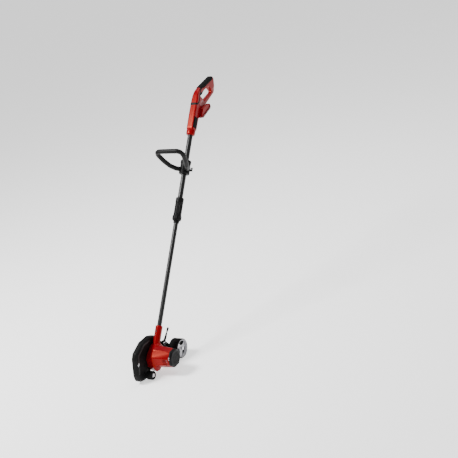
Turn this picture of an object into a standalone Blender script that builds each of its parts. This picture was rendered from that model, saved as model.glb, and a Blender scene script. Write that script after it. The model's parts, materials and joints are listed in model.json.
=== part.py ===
"""Cordless lawn edger: telescoping pole with a D handle at the top and a geared blade head below.

The tool stands in its working posture. +X is the motor side, -Y is forwards, +Z is up.
Pieces of the pole and the handle are placed in "pole space": X as above, Y = n towards the
rear, Z = s up the pole, with its origin where the pole's axis crosses the motor's axis.
"""

from math import atan2, cos, hypot, pi, radians, sin

import bmesh
import bpy

# Driving dimensions, metres and radians
FRAME_SHIFT = (-0.0178, -0.4624, 0.0)  # puts the origin under the middle of the whole tool
GAP = 0.0003
POLE_LEAN = radians(40.46)

BLADE_LENGTH = 0.178
BLADE_WIDTH = 0.032
BLADE_REST_ANGLE = radians(30)
SPINDLE = (0.0, 0.078)  # y and z of the blade's axis
SPINDLE_RADIUS = 0.006
GEAR_MODULE = 0.001
GEAR_TEETH = 30
PINION_TEETH = 12
GEAR_WIDTH = 0.009
AXIS_DISTANCE = GEAR_MODULE * (GEAR_TEETH + PINION_TEETH) / 2
AXIS_TILT = radians(12.65)
MOTOR = (
    SPINDLE[0] + AXIS_DISTANCE * cos(AXIS_TILT),
    SPINDLE[1] + AXIS_DISTANCE * sin(AXIS_TILT),
)
SHAFT_RADIUS = 0.004

WALL = 0.0025
BARREL_START = 0.018
BARREL_END = 0.103
BARREL_BASE_RADIUS = 0.052
BARREL_END_RADIUS = 0.0445
CAP_END = 0.117
CAP_END_RADIUS = 0.040
GEAR_CASE = (-0.0168, 0.028)  # from and to, along X
STEM_RADIUS = 0.017
STEM_TOP = 0.142

LOWER_TUBE_RADIUS = 0.011
UPPER_TUBE_RADIUS = 0.0125
TUBE_WALL = 0.0009
LOWER_TUBE = (0.050, 0.860)  # from and to, up the pole
UPPER_TUBE = (0.700, 1.110)
SLEEVE = (0.652, 0.765)

GUARD = (-0.0440, -0.0175)
GUARD_WALL = 0.0025
FRONT_WHEEL = (-0.0454, 0.021)
FRONT_WHEEL_RADIUS = 0.021
FRONT_WHEEL_SIDES = (-0.0096, 0.0209)
REAR_WHEEL = (0.1612, 0.0465)
REAR_WHEEL_RADIUS = 0.0465
REAR_WHEEL_SIDES = (0.014, 0.064)
CARRIER_PIVOT = (0.115, 0.095)
CARRIER_SIDES = (-0.0030, 0.0025)
BRACKET_SIDES = (-0.0085, -0.0035)
AXLE_RADIUS = 0.004

GRIP_CORNER = (-0.012, 1.322)  # n and s of the front corner where barrel meets grip
GRIP_ANGLE = atan2(0.119, 0.104)
BARREL_HALF_WIDTH = 0.019
GRIP_HALF_WIDTH = 0.0130
STRUT_HALF_WIDTH = 0.0100
FOOT_HALF_WIDTH = 0.033
SHELL_WALL = 0.0022

AUX_CLAMP = (0.885, 0.955)
AUX_CLAMP_RADIUS = 0.026
AUX_BAR_RADIUS = 0.012
CLAMP_BOLT_X = 0.0195

ALONG_X = (0.0, pi / 2, 0.0)  # turns a local Z axis to X
SIDE_VIEW = (pi / 2, 0.0, pi / 2)  # lays an outline in the Y-Z plane, thickness along X

RED = ("red_plastic", (0.58, 0.006, 0.012), 0.32, 0.0)
BLACK = ("black_plastic", (0.018, 0.018, 0.020), 0.48, 0.0)
RUBBER = ("black_rubber", (0.012, 0.012, 0.013), 0.75, 0.0)
PAINTED = ("painted_tube", (0.030, 0.031, 0.034), 0.30, 0.6)
STEEL = ("steel", (0.55, 0.56, 0.58), 0.30, 1.0)
GREY = ("grey_plastic", (0.42, 0.43, 0.45), 0.40, 0.0)
COPPER = ("copper", (0.72, 0.36, 0.20), 0.35, 1.0)
MAGNET = ("magnet", (0.06, 0.06, 0.07), 0.55, 0.3)
BOARD = ("circuit_board", (0.02, 0.16, 0.06), 0.50, 0.0)


def clear_scene():
    for obj in list(bpy.data.objects):
        bpy.data.objects.remove(obj)


def new_collection(name):
    collection = bpy.data.collections.new(name)
    bpy.context.scene.collection.children.link(collection)
    return collection


clear_scene()
PARTS = new_collection("lawn_edger")
CUTTERS = new_collection("cutters")


def empty(name, parent=None, location=(0, 0, 0), rotation=(0, 0, 0)):
    obj = bpy.data.objects.new(name, None)
    obj.location = location
    obj.rotation_euler = rotation
    obj.parent = parent
    PARTS.objects.link(obj)
    return obj


TOOL = empty("tool_space", location=FRAME_SHIFT)
POLE = empty("pole_space", TOOL, (0.0, *MOTOR), (-POLE_LEAN, 0.0, 0.0))


def material_of(finish):
    name, color, roughness, metallic = finish
    found = bpy.data.materials.get(name)
    if found:
        return found
    made = bpy.data.materials.new(name)
    made.use_nodes = True
    shader = made.node_tree.nodes["Principled BSDF"]
    shader.inputs["Base Color"].default_value = (*color, 1.0)
    shader.inputs["Roughness"].default_value = roughness
    shader.inputs["Metallic"].default_value = metallic
    made.diffuse_color = (*color, 1.0)
    return made


def place(obj, finish, parent, location, rotation):
    """Links a part with its finish or, where the finish is None, a cutter."""
    obj.parent = parent
    obj.location = location
    obj.rotation_euler = rotation
    if finish is None:
        CUTTERS.objects.link(obj)
        obj.hide_render = True
        obj.display_type = "WIRE"
    else:
        PARTS.objects.link(obj)
        obj.data.materials.append(material_of(finish))
        obj.data.shade_smooth()
        obj.data.set_sharp_from_angle(angle=radians(35))
    return obj


def mesh_object(name, bm):
    mesh = bpy.data.meshes.new(name)
    bm.to_mesh(mesh)
    bm.free()
    return bpy.data.objects.new(name, mesh)


def bevel(obj, width, segments=2):
    if width:
        modifier = obj.modifiers.new("bevel", "BEVEL")
        modifier.width = width
        modifier.segments = segments
        modifier.limit_method = "ANGLE"
        modifier.angle_limit = radians(40)
    return obj


def combine(obj, other, operation):
    modifier = obj.modifiers.new(operation.lower(), "BOOLEAN")
    modifier.operation = operation
    modifier.solver = "MANIFOLD"
    modifier.object = other
    return obj


def cut(obj, *cutters):
    for cutter in cutters:
        combine(obj, cutter, "DIFFERENCE")
    return obj


def unite(obj, *others):
    for other in others:
        combine(obj, other, "UNION")
    return obj


def turned(
    name, profile, finish, parent, location, rotation=(0, 0, 0), steps=24, ring=False, spin=0.0
):
    """A turned piece about its local Z: radius and height of each point, down the outer side."""
    bm = bmesh.new()
    points = [bm.verts.new((r * cos(spin), r * sin(spin), height)) for r, height in profile]
    ends = points + points[:1] if ring else points
    for first, second in zip(ends, ends[1:]):
        bm.edges.new((first, second))
    obj = mesh_object(name, bm)
    screw = obj.modifiers.new("screw", "SCREW")
    screw.steps = screw.render_steps = steps
    screw.use_merge_vertices = True
    screw.merge_threshold = 0.00002
    screw.use_smooth_shade = True
    return place(obj, finish, parent, location, rotation)


def rod(name, radius, span, finish, parent, at=(0.0, 0.0), axis="X", steps=16, head=None):
    """A round bar from span[0] to span[1]; head is (radius, length) of a head on its far end."""
    low, high = span
    profile = [(0.0, high), (radius, high), (radius, low), (0.0, low)]
    if head:
        wide, length = head
        profile[1:2] = [(wide, high), (wide, high - length), (radius, high - length)]
    return on_axis(name, profile, finish, parent, at, axis, steps, False)


def ring(name, inner, outer, span, finish, parent, at=(0.0, 0.0), axis="X", steps=24):
    low, high = span
    profile = [(outer, high), (outer, low), (inner, low), (inner, high)]
    return on_axis(name, profile, finish, parent, at, axis, steps, True)


def on_axis(name, profile, finish, parent, at, axis, steps, closed):
    """A turned piece whose axis runs along X through y, z = at, or along Z through x, y = at."""
    if axis == "X":
        return turned(name, profile, finish, parent, (0.0, *at), ALONG_X, steps, closed)
    return turned(name, profile, finish, parent, (*at, 0.0), (0, 0, 0), steps, closed)


def block(name, low, high, finish, parent, rounding=0.0):
    bm = bmesh.new()
    bmesh.ops.create_cube(bm, size=1.0)
    size = [top - bottom for bottom, top in zip(low, high)]
    centre = [(top + bottom) / 2 for bottom, top in zip(low, high)]
    bmesh.ops.scale(bm, vec=size, verts=bm.verts)
    obj = place(mesh_object(name, bm), finish, parent, centre, (0, 0, 0))
    return bevel(obj, rounding)


def meshed(curve, finish, parent):
    """The curve object as a mesh object with its caps welded."""
    curve.parent = parent
    PARTS.objects.link(curve)
    bpy.context.view_layer.update()
    graph = bpy.context.evaluated_depsgraph_get()
    mesh = bpy.data.meshes.new_from_object(curve.evaluated_get(graph))
    bm = bmesh.new()
    bm.from_mesh(mesh)
    bmesh.ops.remove_doubles(bm, verts=bm.verts, dist=0.00002)
    bmesh.ops.dissolve_limit(bm, angle_limit=radians(1), verts=bm.verts, edges=bm.edges)
    bm.to_mesh(mesh)
    bm.free()
    name, location, rotation = curve.name, tuple(curve.location), tuple(curve.rotation_euler)
    bpy.data.objects.remove(curve)
    return place(bpy.data.objects.new(name, mesh), finish, parent, location, rotation)


def flat_curve(name, outlines, thickness):
    """A filled curve object in its local X-Y plane; outlines after the first are its holes."""
    curve = bpy.data.curves.new(name, "CURVE")
    curve.dimensions = "2D"
    curve.fill_mode = "BOTH"
    curve.extrude = thickness / 2
    for points in outlines:
        spline = curve.splines.new("POLY")
        spline.points.add(len(points) - 1)
        spline.use_cyclic_u = True
        for spot, (across, up) in zip(spline.points, points):
            spot.co = (across, up, 0.0, 1.0)
    return bpy.data.objects.new(name, curve)


def plate(name, outline, span, finish, parent, holes=(), rounding=0.0, segments=2):
    """A flat outline of (y, z) points, solid from span[0] to span[1] along X."""
    obj = flat_curve(name, [outline, *holes], span[1] - span[0])
    obj.location = ((span[0] + span[1]) / 2, 0.0, 0.0)
    obj.rotation_euler = SIDE_VIEW
    return bevel(meshed(obj, finish, parent), rounding, segments)


def circle(at, radius, count=16, start=0.0):
    steps = [start + 2 * pi * k / count for k in range(count)]
    return [(at[0] + radius * cos(a), at[1] + radius * sin(a)) for a in steps]


def arc(at, radius, start, end, count):
    steps = [start + (end - start) * k / (count - 1) for k in range(count)]
    return [(at[0] + radius * cos(a), at[1] + radius * sin(a)) for a in steps]


def inset(outline, distance):
    """The outline with each side moved inwards; it runs anticlockwise."""
    sides = []
    for (y0, z0), (y1, z1) in zip(outline, outline[1:] + outline[:1]):
        length = hypot(y1 - y0, z1 - z0)
        inward = (-(z1 - z0) / length, (y1 - y0) / length)
        sides.append((inward, inward[0] * y0 + inward[1] * z0 + distance))
    points = []
    for (y, z), (a, c), (b, d) in zip(outline, sides[-1:] + sides[:-1], sides):
        cross = a[0] * b[1] - a[1] * b[0]
        if abs(cross) < 0.001:
            points.append((y + distance * a[0], z + distance * a[1]))
        else:
            points.append(((c * b[1] - d * a[1]) / cross, (a[0] * d - b[0] * c) / cross))
    return points


def toothed(at, teeth, phase):
    """The outline of a gear whose first tooth points at the angle phase."""
    pitch = GEAR_MODULE * teeth / 2
    points = []
    for tooth in range(teeth):
        middle = phase + 2 * pi * tooth / teeth
        for radius, share in ((-1.25, -0.33), (0.80, -0.13), (0.80, 0.13), (-1.25, 0.33)):
            angle = middle + share * 2 * pi / teeth
            reach = pitch + radius * GEAR_MODULE
            points.append((at[0] + reach * cos(angle), at[1] + reach * sin(angle)))
    return points


def make_pole():
    inner = LOWER_TUBE_RADIUS - TUBE_WALL
    ring("lower_tube", inner, LOWER_TUBE_RADIUS, LOWER_TUBE, PAINTED, POLE, axis="Z")
    ring(
        "upper_tube", UPPER_TUBE_RADIUS - TUBE_WALL, UPPER_TUBE_RADIUS, UPPER_TUBE, PAINTED,
        POLE, axis="Z",
    )
    low, high = SLEEVE
    seat = UPPER_TUBE[0] - 0.001
    over_tube = UPPER_TUBE_RADIUS + GAP
    profile = [
        (0.0180, high), (0.0195, high - 0.003), (0.0195, high - 0.022), (0.0190, high - 0.026),
        (0.0222, low + 0.018), (0.0222, low + 0.008), (0.0195, low), (0.0154, low),
        (0.0154, seat + 0.002), (over_tube, seat + 0.002), (over_tube, high),
    ]
    turned("lock_sleeve", profile, BLACK, POLE, (0, 0, 0), ring=True)
    collet = ring(
        "lock_collet", LOWER_TUBE_RADIUS + 0.0003, 0.0149, (low + 0.003, seat), BLACK, POLE,
        axis="Z",
    )
    slot = block("collet_slot", (-0.001, 0.005, low - 0.01), (0.001, 0.020, seat - 0.008), None, POLE)
    cut(collet, slot)
    ring(
        "wiper_ring", LOWER_TUBE_RADIUS + 0.0003, 0.0140, (low - 0.012, low + 0.0025), RUBBER,
        POLE, axis="Z",
    )
    ring("coiled_cable", 0.0040, 0.0072, (0.420, 1.080), RUBBER, POLE, axis="Z", steps=12)
    rod("motor_lead", 0.0028, (0.075, 0.400), RUBBER, POLE, axis="Z", steps=10)


def on_grip(points):
    """Points given along and across the grip, from its front corner, as n and s."""
    along = (cos(GRIP_ANGLE), sin(GRIP_ANGLE))
    across = (sin(GRIP_ANGLE), -cos(GRIP_ANGLE))
    return [
        (
            GRIP_CORNER[0] + g * along[0] + h * across[0],
            GRIP_CORNER[1] + g * along[1] + h * across[1],
        )
        for g, h in points
    ]


# The handle's side outline, n and s, anticlockwise from the bottom of the barrel
BARREL_FOOT = [(-0.0195, 1.108), (0.0220, 1.108), (0.0250, 1.180)]
STRUT_BACK = [(0.046, 1.224), (0.083, 1.281), (0.138, 1.366), (0.137, 1.384)]
GRIP_TOP = [(0.110, 1.434)]
GRIP_FRONT = on_grip([(0.156, 0.0020), (0.012, 0.0020)])
BARREL_FRONT = [(-0.0140, 1.312), (-0.0175, 1.296), (-0.0195, 1.200)]
HANDLE = BARREL_FOOT + STRUT_BACK + GRIP_TOP + GRIP_FRONT + BARREL_FRONT
OPENING = [
    (0.0085, 1.306), (0.0140, 1.296), (0.050, 1.288), (0.058, 1.291), (0.109, 1.354),
    (0.1105, 1.364), (0.080, 1.373), (0.071, 1.370),
]
FOOT = [
    (0.0220, 1.1810), (0.0400, 1.1935), (0.0960, 1.2730), (0.0800, 1.2830), (0.0500, 1.2700),
    (0.0220, 1.2350),
]


def smooth_step(value, low, high):
    t = min(max((value - low) / (high - low), 0.0), 1.0)
    return t * t * (3 - 2 * t)


def half_width(n, s):
    """Half the handle's width, which narrows from the barrel to the grip and the strut."""
    to_grip = smooth_step(s, 1.255, 1.325)
    behind = (n - 0.030) * 0.76 - (s - 1.293) * 0.65
    to_strut = smooth_step(behind, 0.004, 0.020) * smooth_step(s, 1.225, 1.275)
    upper = GRIP_HALF_WIDTH + (STRUT_HALF_WIDTH - GRIP_HALF_WIDTH) * to_strut
    return BARREL_HALF_WIDTH + (upper - BARREL_HALF_WIDTH) * max(to_grip, to_strut)


def divided(outline, longest):
    """The outline with points added, so that no side is longer than longest."""
    points = []
    for (y0, z0), (y1, z1) in zip(outline, outline[1:] + outline[:1]):
        count = max(1, round(hypot(y1 - y0, z1 - z0) / longest))
        points += [(y0 + (y1 - y0) * k / count, z0 + (z1 - z0) * k / count) for k in range(count)]
    return points


def pillow(name, outline, rounding, finish, slimmer=0.0, opening=False):
    """A solid of the handle's width with rounded edges or, as an opening, flared ones."""
    quarter = [(rounding * (1 - sin(a)), rounding * (1 - cos(a))) for a in (pi / 2, pi / 4, 0)]
    if not rounding:
        quarter = [(0.0, 0.0)]
    if opening:
        flare = 0.006
        quarter = [(-flare, rounding + flare)] + quarter
    side = -1 if opening else 1
    levels = [(-1, *pair) for pair in quarter] + [(1, *pair) for pair in reversed(quarter)]
    bm = bmesh.new()
    rings = []
    for way, depth, inwards in levels:
        ring_points = zip(outline, inset(outline, side * inwards))
        rings.append([
            bm.verts.new((way * (half_width(*base) - slimmer - depth), n, s))
            for base, (n, s) in ring_points
        ])
    for lower, upper in zip(rings, rings[1:]):
        for k in range(len(lower)):
            m = (k + 1) % len(lower)
            bm.faces.new((lower[k], lower[m], upper[m], upper[k]))
    bm.faces.new(rings[0][::-1])
    bm.faces.new(rings[-1])
    bmesh.ops.triangulate(bm, faces=bm.faces)
    bmesh.ops.recalc_face_normals(bm, faces=bm.faces)
    return place(mesh_object(name, bm), finish, POLE, (0, 0, 0), (0, 0, 0))


HANDLE_ROUNDING = 0.0075
HANDLE_SIDES = divided(HANDLE, 0.020)
OPENING_SIDES = divided(OPENING, 0.020)
TRIGGER = on_grip([
    (0.058, 0.0165), (0.0665, 0.0165), (0.0665, 0.0245), (0.060, 0.0310), (0.045, 0.0335),
    (0.022, 0.0405), (0.009, 0.0400), (0.007, 0.0330), (0.0065, 0.0225), (0.012, 0.0205),
])
TRIGGER_PIVOT = on_grip([(0.0625, 0.0205)])[0]
LOCK_OFF = (-0.004, 1.288)
FOOT_SLOPE = atan2(0.0795, 0.056)


def handle_cutters():
    """The hollow of the handle and its openings, shared by the two shells."""
    wall = SHELL_WALL
    opening = pillow("opening", OPENING_SIDES, 0.005, None, opening=True)
    around = pillow("opening_wall", inset(OPENING_SIDES, -wall), 0.0, None, -wall)
    hollow = pillow("handle_hollow", inset(HANDLE_SIDES, wall), 0.0055, None, slimmer=wall)
    cut(hollow, around)
    foot = plate(
        "foot_hollow", inset(FOOT, wall), (wall - FOOT_HALF_WIDTH, FOOT_HALF_WIDTH - wall), None,
        POLE,
    )
    bore = rod(
        "tube_bore", UPPER_TUBE_RADIUS + GAP, (1.05, UPPER_TUBE[1] + 0.001), None, POLE, axis="Z",
        steps=24,
    )
    slot = plate(
        "trigger_slot", on_grip([(0.0045, 0.020), (0.064, 0.020), (0.064, 0.050), (0.0045, 0.050)]),
        (-0.0083, 0.0083), None, POLE,
    )
    hole = rod("button_hole", 0.0065, (-0.030, 0.0), None, POLE, at=LOCK_OFF)
    return opening, hollow, foot, bore, slot, hole


def make_handle():
    cutters = handle_cutters()
    foot = plate(
        "foot_form", FOOT, (-FOOT_HALF_WIDTH, FOOT_HALF_WIDTH), None, POLE, rounding=0.004
    )
    collar_profile = [
        (0.0, 1.120), (0.0190, 1.120), (0.0215, 1.112), (0.0222, 1.100), (0.0210, 1.090),
        (0.0185, 1.085), (0.0, 1.085),
    ]
    collar = turned("collar_form", collar_profile, None, POLE, (0, 0, 0))
    for name, side in (("handle_left_shell", 1), ("handle_right_shell", -1)):
        shell = pillow(name, HANDLE_SIDES, HANDLE_ROUNDING, RED)
        near, far = sorted((-side * 0.05, side * GAP / 2))
        other_half = block(f"{name}_split", (near, -0.1, 1.0), (far, 0.3, 1.6), None, POLE)
        unite(shell, foot, collar)
        cut(shell, *cutters, other_half)

    grip = plate(
        "soft_grip", on_grip([(0.022, 0.0155), (0.022, 0.0), (0.150, 0.0), (0.150, 0.0155)])[::-1],
        (-GRIP_HALF_WIDTH - 0.0018, GRIP_HALF_WIDTH + 0.0018), RUBBER, POLE, rounding=0.006,
        segments=3,
    )
    around = pillow("grip_core", inset(HANDLE_SIDES, -GAP), HANDLE_ROUNDING, None, -GAP)
    cut(grip, around)
    x = BARREL_HALF_WIDTH + GAP
    label = [(-0.0085, 1.122), (0.0120, 1.122), (0.0120, 1.178), (-0.0085, 1.178)]
    plate("label_plate", label, (x, x + 0.0008), BLACK, POLE)


def make_controls():
    plate(
        "trigger", TRIGGER, (-0.0075, 0.0075), BLACK, POLE, rounding=0.0015,
        holes=[circle(TRIGGER_PIVOT, 0.0019, 12)],
    )
    pivot = {"at": TRIGGER_PIVOT, "steps": 12}
    rod("trigger_pin", 0.0015, (-0.0104, 0.0104), STEEL, POLE, **pivot)
    ring("trigger_spring", 0.0019, 0.0034, (0.0079, 0.0102), STEEL, POLE, **pivot)
    switch = on_grip([(0.016, 0.0120), (0.016, 0.0056), (0.050, 0.0056), (0.050, 0.0120)])
    plate("switch", switch[::-1], (-0.0058, 0.0058), BLACK, POLE)
    button = [
        (0.0, -0.0090), (0.0058, -0.0090), (0.0058, -0.0190), (0.0046, -0.0205), (0.0, -0.0205),
    ]
    turned("lock_off_button", button, BLACK, POLE, (0.0, *LOCK_OFF), ALONG_X, 16)
    ring("button_spring", 0.0020, 0.0040, (-0.0050, -0.0010), STEEL, POLE, at=LOCK_OFF, steps=12)
    board = [(-0.010, 1.150), (-0.0085, 1.150), (-0.0085, 1.235), (-0.010, 1.235)]
    plate("control_board", board, (-0.013, 0.013), BOARD, POLE)


def on_foot(points):
    """Points given along and out from the battery foot's face, from its lower corner."""
    along = (cos(FOOT_SLOPE), sin(FOOT_SLOPE))
    outwards = (sin(FOOT_SLOPE), -cos(FOOT_SLOPE))
    return [
        (0.040 + g * along[0] + h * outwards[0], 1.1935 + g * along[1] + h * outwards[1])
        for g, h in points
    ]


def make_battery_seat():
    rail = on_foot([(0.004, 0.0054), (0.004, GAP), (0.093, GAP), (0.093, 0.0054)])
    rails = plate("battery_rails", rail[::-1], (-0.0290, 0.0290), BLACK, POLE)
    channel = on_foot([(-0.01, 0.0024), (0.058, 0.0024), (0.058, 0.0100), (-0.01, 0.0100)])
    pocket = on_foot([(0.057, 0.0018), (0.080, 0.0018), (0.080, 0.0100), (0.057, 0.0100)])
    cut(
        rails, plate("rail_channel", channel, (-0.0230, 0.0230), None, POLE),
        plate("terminal_pocket", pocket, (-0.0230, 0.0230), None, POLE),
    )
    terminals = on_foot([(0.060, 0.0050), (0.060, 0.0021), (0.0795, 0.0021), (0.0795, 0.0050)])
    plate("terminal_block", terminals[::-1], (-0.0180, 0.0180), BLACK, POLE)


# The right half of the auxiliary handle's centreline: x, n, s
AUX_ROUTE = [
    (0.019, -0.014, 0.908), (0.032, -0.030, 0.906), (0.047, -0.062, 0.909), (0.061, -0.102, 0.921),
    (0.0695, -0.138, 0.934), (0.066, -0.158, 0.940), (0.052, -0.166, 0.943), (0.026, -0.167, 0.943),
]


def clamp_half(name, finish, side):
    """Half of the ring that clamps the pole: side is -1 in front and 1 behind."""
    low, high = AUX_CLAMP
    profile = [
        (AUX_CLAMP_RADIUS - 0.003, high), (AUX_CLAMP_RADIUS, high - 0.004),
        (AUX_CLAMP_RADIUS, low + 0.004), (AUX_CLAMP_RADIUS - 0.003, low),
    ]
    solid = turned(name, [(0.0, high), *profile, (0.0, low)], finish, POLE, (0, 0, 0))
    near, far = sorted((-side * 0.05, side * 0.0005))
    other_half = block(f"{name}_split", (-0.1, near, low - 0.1), (0.1, far, high + 0.1), None, POLE)
    return solid, other_half


def make_auxiliary_handle():
    low, high = AUX_CLAMP
    route = [(-x, n, s) for x, n, s in AUX_ROUTE] + AUX_ROUTE[::-1]
    curve = bpy.data.curves.new("aux_loop", "CURVE")
    curve.dimensions = "3D"
    curve.bevel_depth = AUX_BAR_RADIUS
    curve.bevel_resolution = 3
    curve.use_fill_caps = True
    spline = curve.splines.new("POLY")
    spline.points.add(len(route) - 1)
    for spot, point in zip(spline.points, route):
        spot.co = (*point, 1.0)
    loop = meshed(bpy.data.objects.new("aux_loop", curve), None, POLE)
    bore = rod("clamp_bore", UPPER_TUBE_RADIUS + GAP, (low - 0.05, high + 0.05), None, POLE,
               axis="Z", steps=24)
    middle = (low + high) / 2
    bolt_hole = turned(
        "clamp_bolt_hole", [(0.0, 0.05), (0.0029, 0.05), (0.0029, -0.05), (0.0, -0.05)], None, POLE,
        (CLAMP_BOLT_X, 0.0, middle), (-pi / 2, 0.0, 0.0), 12,
    )
    front, behind = clamp_half("aux_handle", BLACK, -1)
    unite(front, loop)
    cut(front, behind, bore, bolt_hole)
    rear, before = clamp_half("aux_clamp", BLACK, 1)
    cut(rear, before, bore, bolt_hole)
    turned(
        "clamp_bolt", [(0.0, 0.0243), (0.0025, 0.0243), (0.0025, -0.0200), (0.0, -0.0200)], STEEL,
        POLE, (CLAMP_BOLT_X, 0.0, middle), (-pi / 2, 0.0, 0.0), 12,
    )
    lever = [
        (0.0250, 0.0285), (0.0250, 0.0345), (0.0180, 0.0375), (0.0000, 0.0390), (-0.0170, 0.0370),
        (-0.0260, 0.0300), (-0.0300, 0.0180), (-0.0275, 0.0170), (-0.0225, 0.0280),
        (-0.0140, 0.0325), (0.0000, 0.0345), (0.0110, 0.0330), (0.0135, 0.0270),
    ]
    lever_curve = flat_curve("clamp_lever", [lever], 0.017)
    lever_curve.location = (0.0, 0.0, middle)
    meshed(lever_curve, BLACK, POLE)


# Outlines in the tool's y and z, anticlockwise
GEAR_CASE_SIDE = [
    (-0.029, 0.094), (-0.030, 0.052), (-0.014, 0.021), (0.004, 0.0155), (0.030, 0.026),
    (0.066, 0.052), (0.077, 0.082), (0.073, 0.112), (0.058, 0.136), (0.034, 0.136),
    (-0.006, 0.116),
]
GUARD_SIDE = [
    (-0.060, 0.0005), (-0.022, 0.0010), (0.110, 0.134), (0.088, 0.153), (0.052, 0.1685),
    (-0.013, 0.1718), (-0.076, 0.149), (-0.092, 0.127), (-0.110, 0.050), (-0.106, 0.024),
    (-0.092, 0.010),
]
GUARD_MOUTH = [(-0.060, -0.030), (0.010, -0.030), (0.150, 0.134), (0.110, 0.160)]


def barrel(name, profile, finish):
    """An eight-sided turned piece about the motor's axis, with flats on top and in front."""
    return turned(name, profile, finish, TOOL, (0.0, *MOTOR), ALONG_X, 8, spin=pi / 8)


def housing_cutters():
    slope = (BARREL_END_RADIUS - BARREL_BASE_RADIUS) / (BARREL_END - BARREL_START)
    wall = WALL + 0.0006
    inner = [
        (BARREL_BASE_RADIUS + slope * (x - BARREL_START) - wall, x)
        for x in (BARREL_END + 0.01, BARREL_START)
    ]
    motor_space = barrel("motor_space", [(0.0, inner[0][1]), *inner, (0.0, inner[1][1])], None)
    low, high = GEAR_CASE
    gear_space = plate(
        "gear_space", inset(GEAR_CASE_SIDE, WALL), (low + WALL, high - WALL), None, TOOL
    )
    tube_bore = rod(
        "stem_bore", LOWER_TUBE_RADIUS + GAP, (0.020, STEM_TOP + 0.01), None, POLE, axis="Z",
        steps=24,
    )
    bearing_seat = rod("bearing_seat", 0.0134, (low - 0.01, low + 0.01), None, TOOL, at=SPINDLE)
    return motor_space, gear_space, tube_bore, bearing_seat


def make_housing():
    cutters = housing_cutters()
    barrel_profile = [
        (0.0, BARREL_END), (BARREL_END_RADIUS, BARREL_END), (BARREL_BASE_RADIUS, BARREL_START),
        (0.0, BARREL_START),
    ]
    barrel_form = bevel(barrel("barrel_form", barrel_profile, None), 0.003)
    stem_profile = [
        (0.0, STEM_TOP), (STEM_RADIUS - 0.001, STEM_TOP), (STEM_RADIUS, STEM_TOP - 0.002),
        (STEM_RADIUS, 0.020), (0.0, 0.020),
    ]
    stem_form = turned("stem_form", stem_profile, None, POLE, (0, 0, 0), steps=20)
    for name, side in (("housing_front", -1), ("housing_rear", 1)):
        shell = plate(name, GEAR_CASE_SIDE, GEAR_CASE, RED, TOOL, rounding=0.005)
        near, far = sorted((-side * 0.2, side * GAP / 2))
        other_half = block(f"{name}_split", (-0.2, near, -0.2), (0.2, far, 0.4), None, POLE)
        unite(shell, barrel_form, stem_form)
        cut(shell, *cutters, other_half)
    profile = [
        (0.0, CAP_END), (CAP_END_RADIUS, CAP_END), (BARREL_END_RADIUS, BARREL_END + 0.006),
        (BARREL_END_RADIUS, BARREL_END + GAP), (0.0, BARREL_END + GAP),
    ]
    cap = barrel("motor_cap", profile, BLACK)
    hollow = [
        (0.0, CAP_END - 0.003), (0.037, CAP_END - 0.003), (0.041, BARREL_END + 0.006),
        (0.041, BARREL_END - 0.01), (0.0, BARREL_END - 0.01),
    ]
    cut(cap, barrel("cap_hollow", hollow, None))


def make_motor():
    shaft = SHAFT_RADIUS
    bore = shaft + GAP
    ring("motor_can", 0.0290, 0.0325, (0.030, 0.088), STEEL, TOOL, at=MOTOR)
    for name, start in (("magnet_upper", radians(30)), ("magnet_lower", radians(210))):
        outer = arc(MOTOR, 0.0284, start, start + radians(120), 9)
        inner = arc(MOTOR, 0.0252, start + radians(120), start, 9)
        plate(name, outer + inner, (0.036, 0.082), MAGNET, TOOL)
    slots = []
    for k in range(12):
        for radius, share in ((0.0190, -0.36), (0.0245, -0.42), (0.0245, 0.42), (0.0190, 0.36)):
            angle = 2 * pi * (k + share) / 12
            slots.append((MOTOR[0] + radius * cos(angle), MOTOR[1] + radius * sin(angle)))
    plate("rotor", slots, (0.040, 0.078), COPPER, TOOL, [circle(MOTOR, bore)])
    ring("commutator", bore, 0.0100, (0.0820, 0.0920), COPPER, TOOL, at=MOTOR, steps=16)
    ring("brush_holder", 0.0125, 0.0286, (0.0835, 0.0875), BLACK, TOOL, at=MOTOR)
    thin = 0.0025
    profile = [
        (0.0, 0.1010), (shaft, 0.1010), (shaft, 0.0060), (thin, 0.0060), (thin, -0.0060),
        (0.0, -0.0060),
    ]
    turned("motor_shaft", profile, STEEL, TOOL, (0.0, *MOTOR), ALONG_X, 16)
    ring("motor_bearing_front", bore, 0.0105, (0.0220, 0.0285), STEEL, TOOL, at=MOTOR, steps=20)
    ring("motor_bearing_rear", bore, 0.0105, (0.0940, 0.1000), STEEL, TOOL, at=MOTOR, steps=20)
    blades = []
    for k in range(9):
        for radius, share in ((0.011, -0.2), (0.027, -0.2), (0.027, 0.05), (0.011, 0.25)):
            angle = 2 * pi * (k + share) / 9
            blades.append((MOTOR[0] + radius * cos(angle), MOTOR[1] + radius * sin(angle)))
    plate("cooling_fan", blades, (0.0125, 0.0190), BLACK, TOOL, [circle(MOTOR, bore)])


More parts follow.
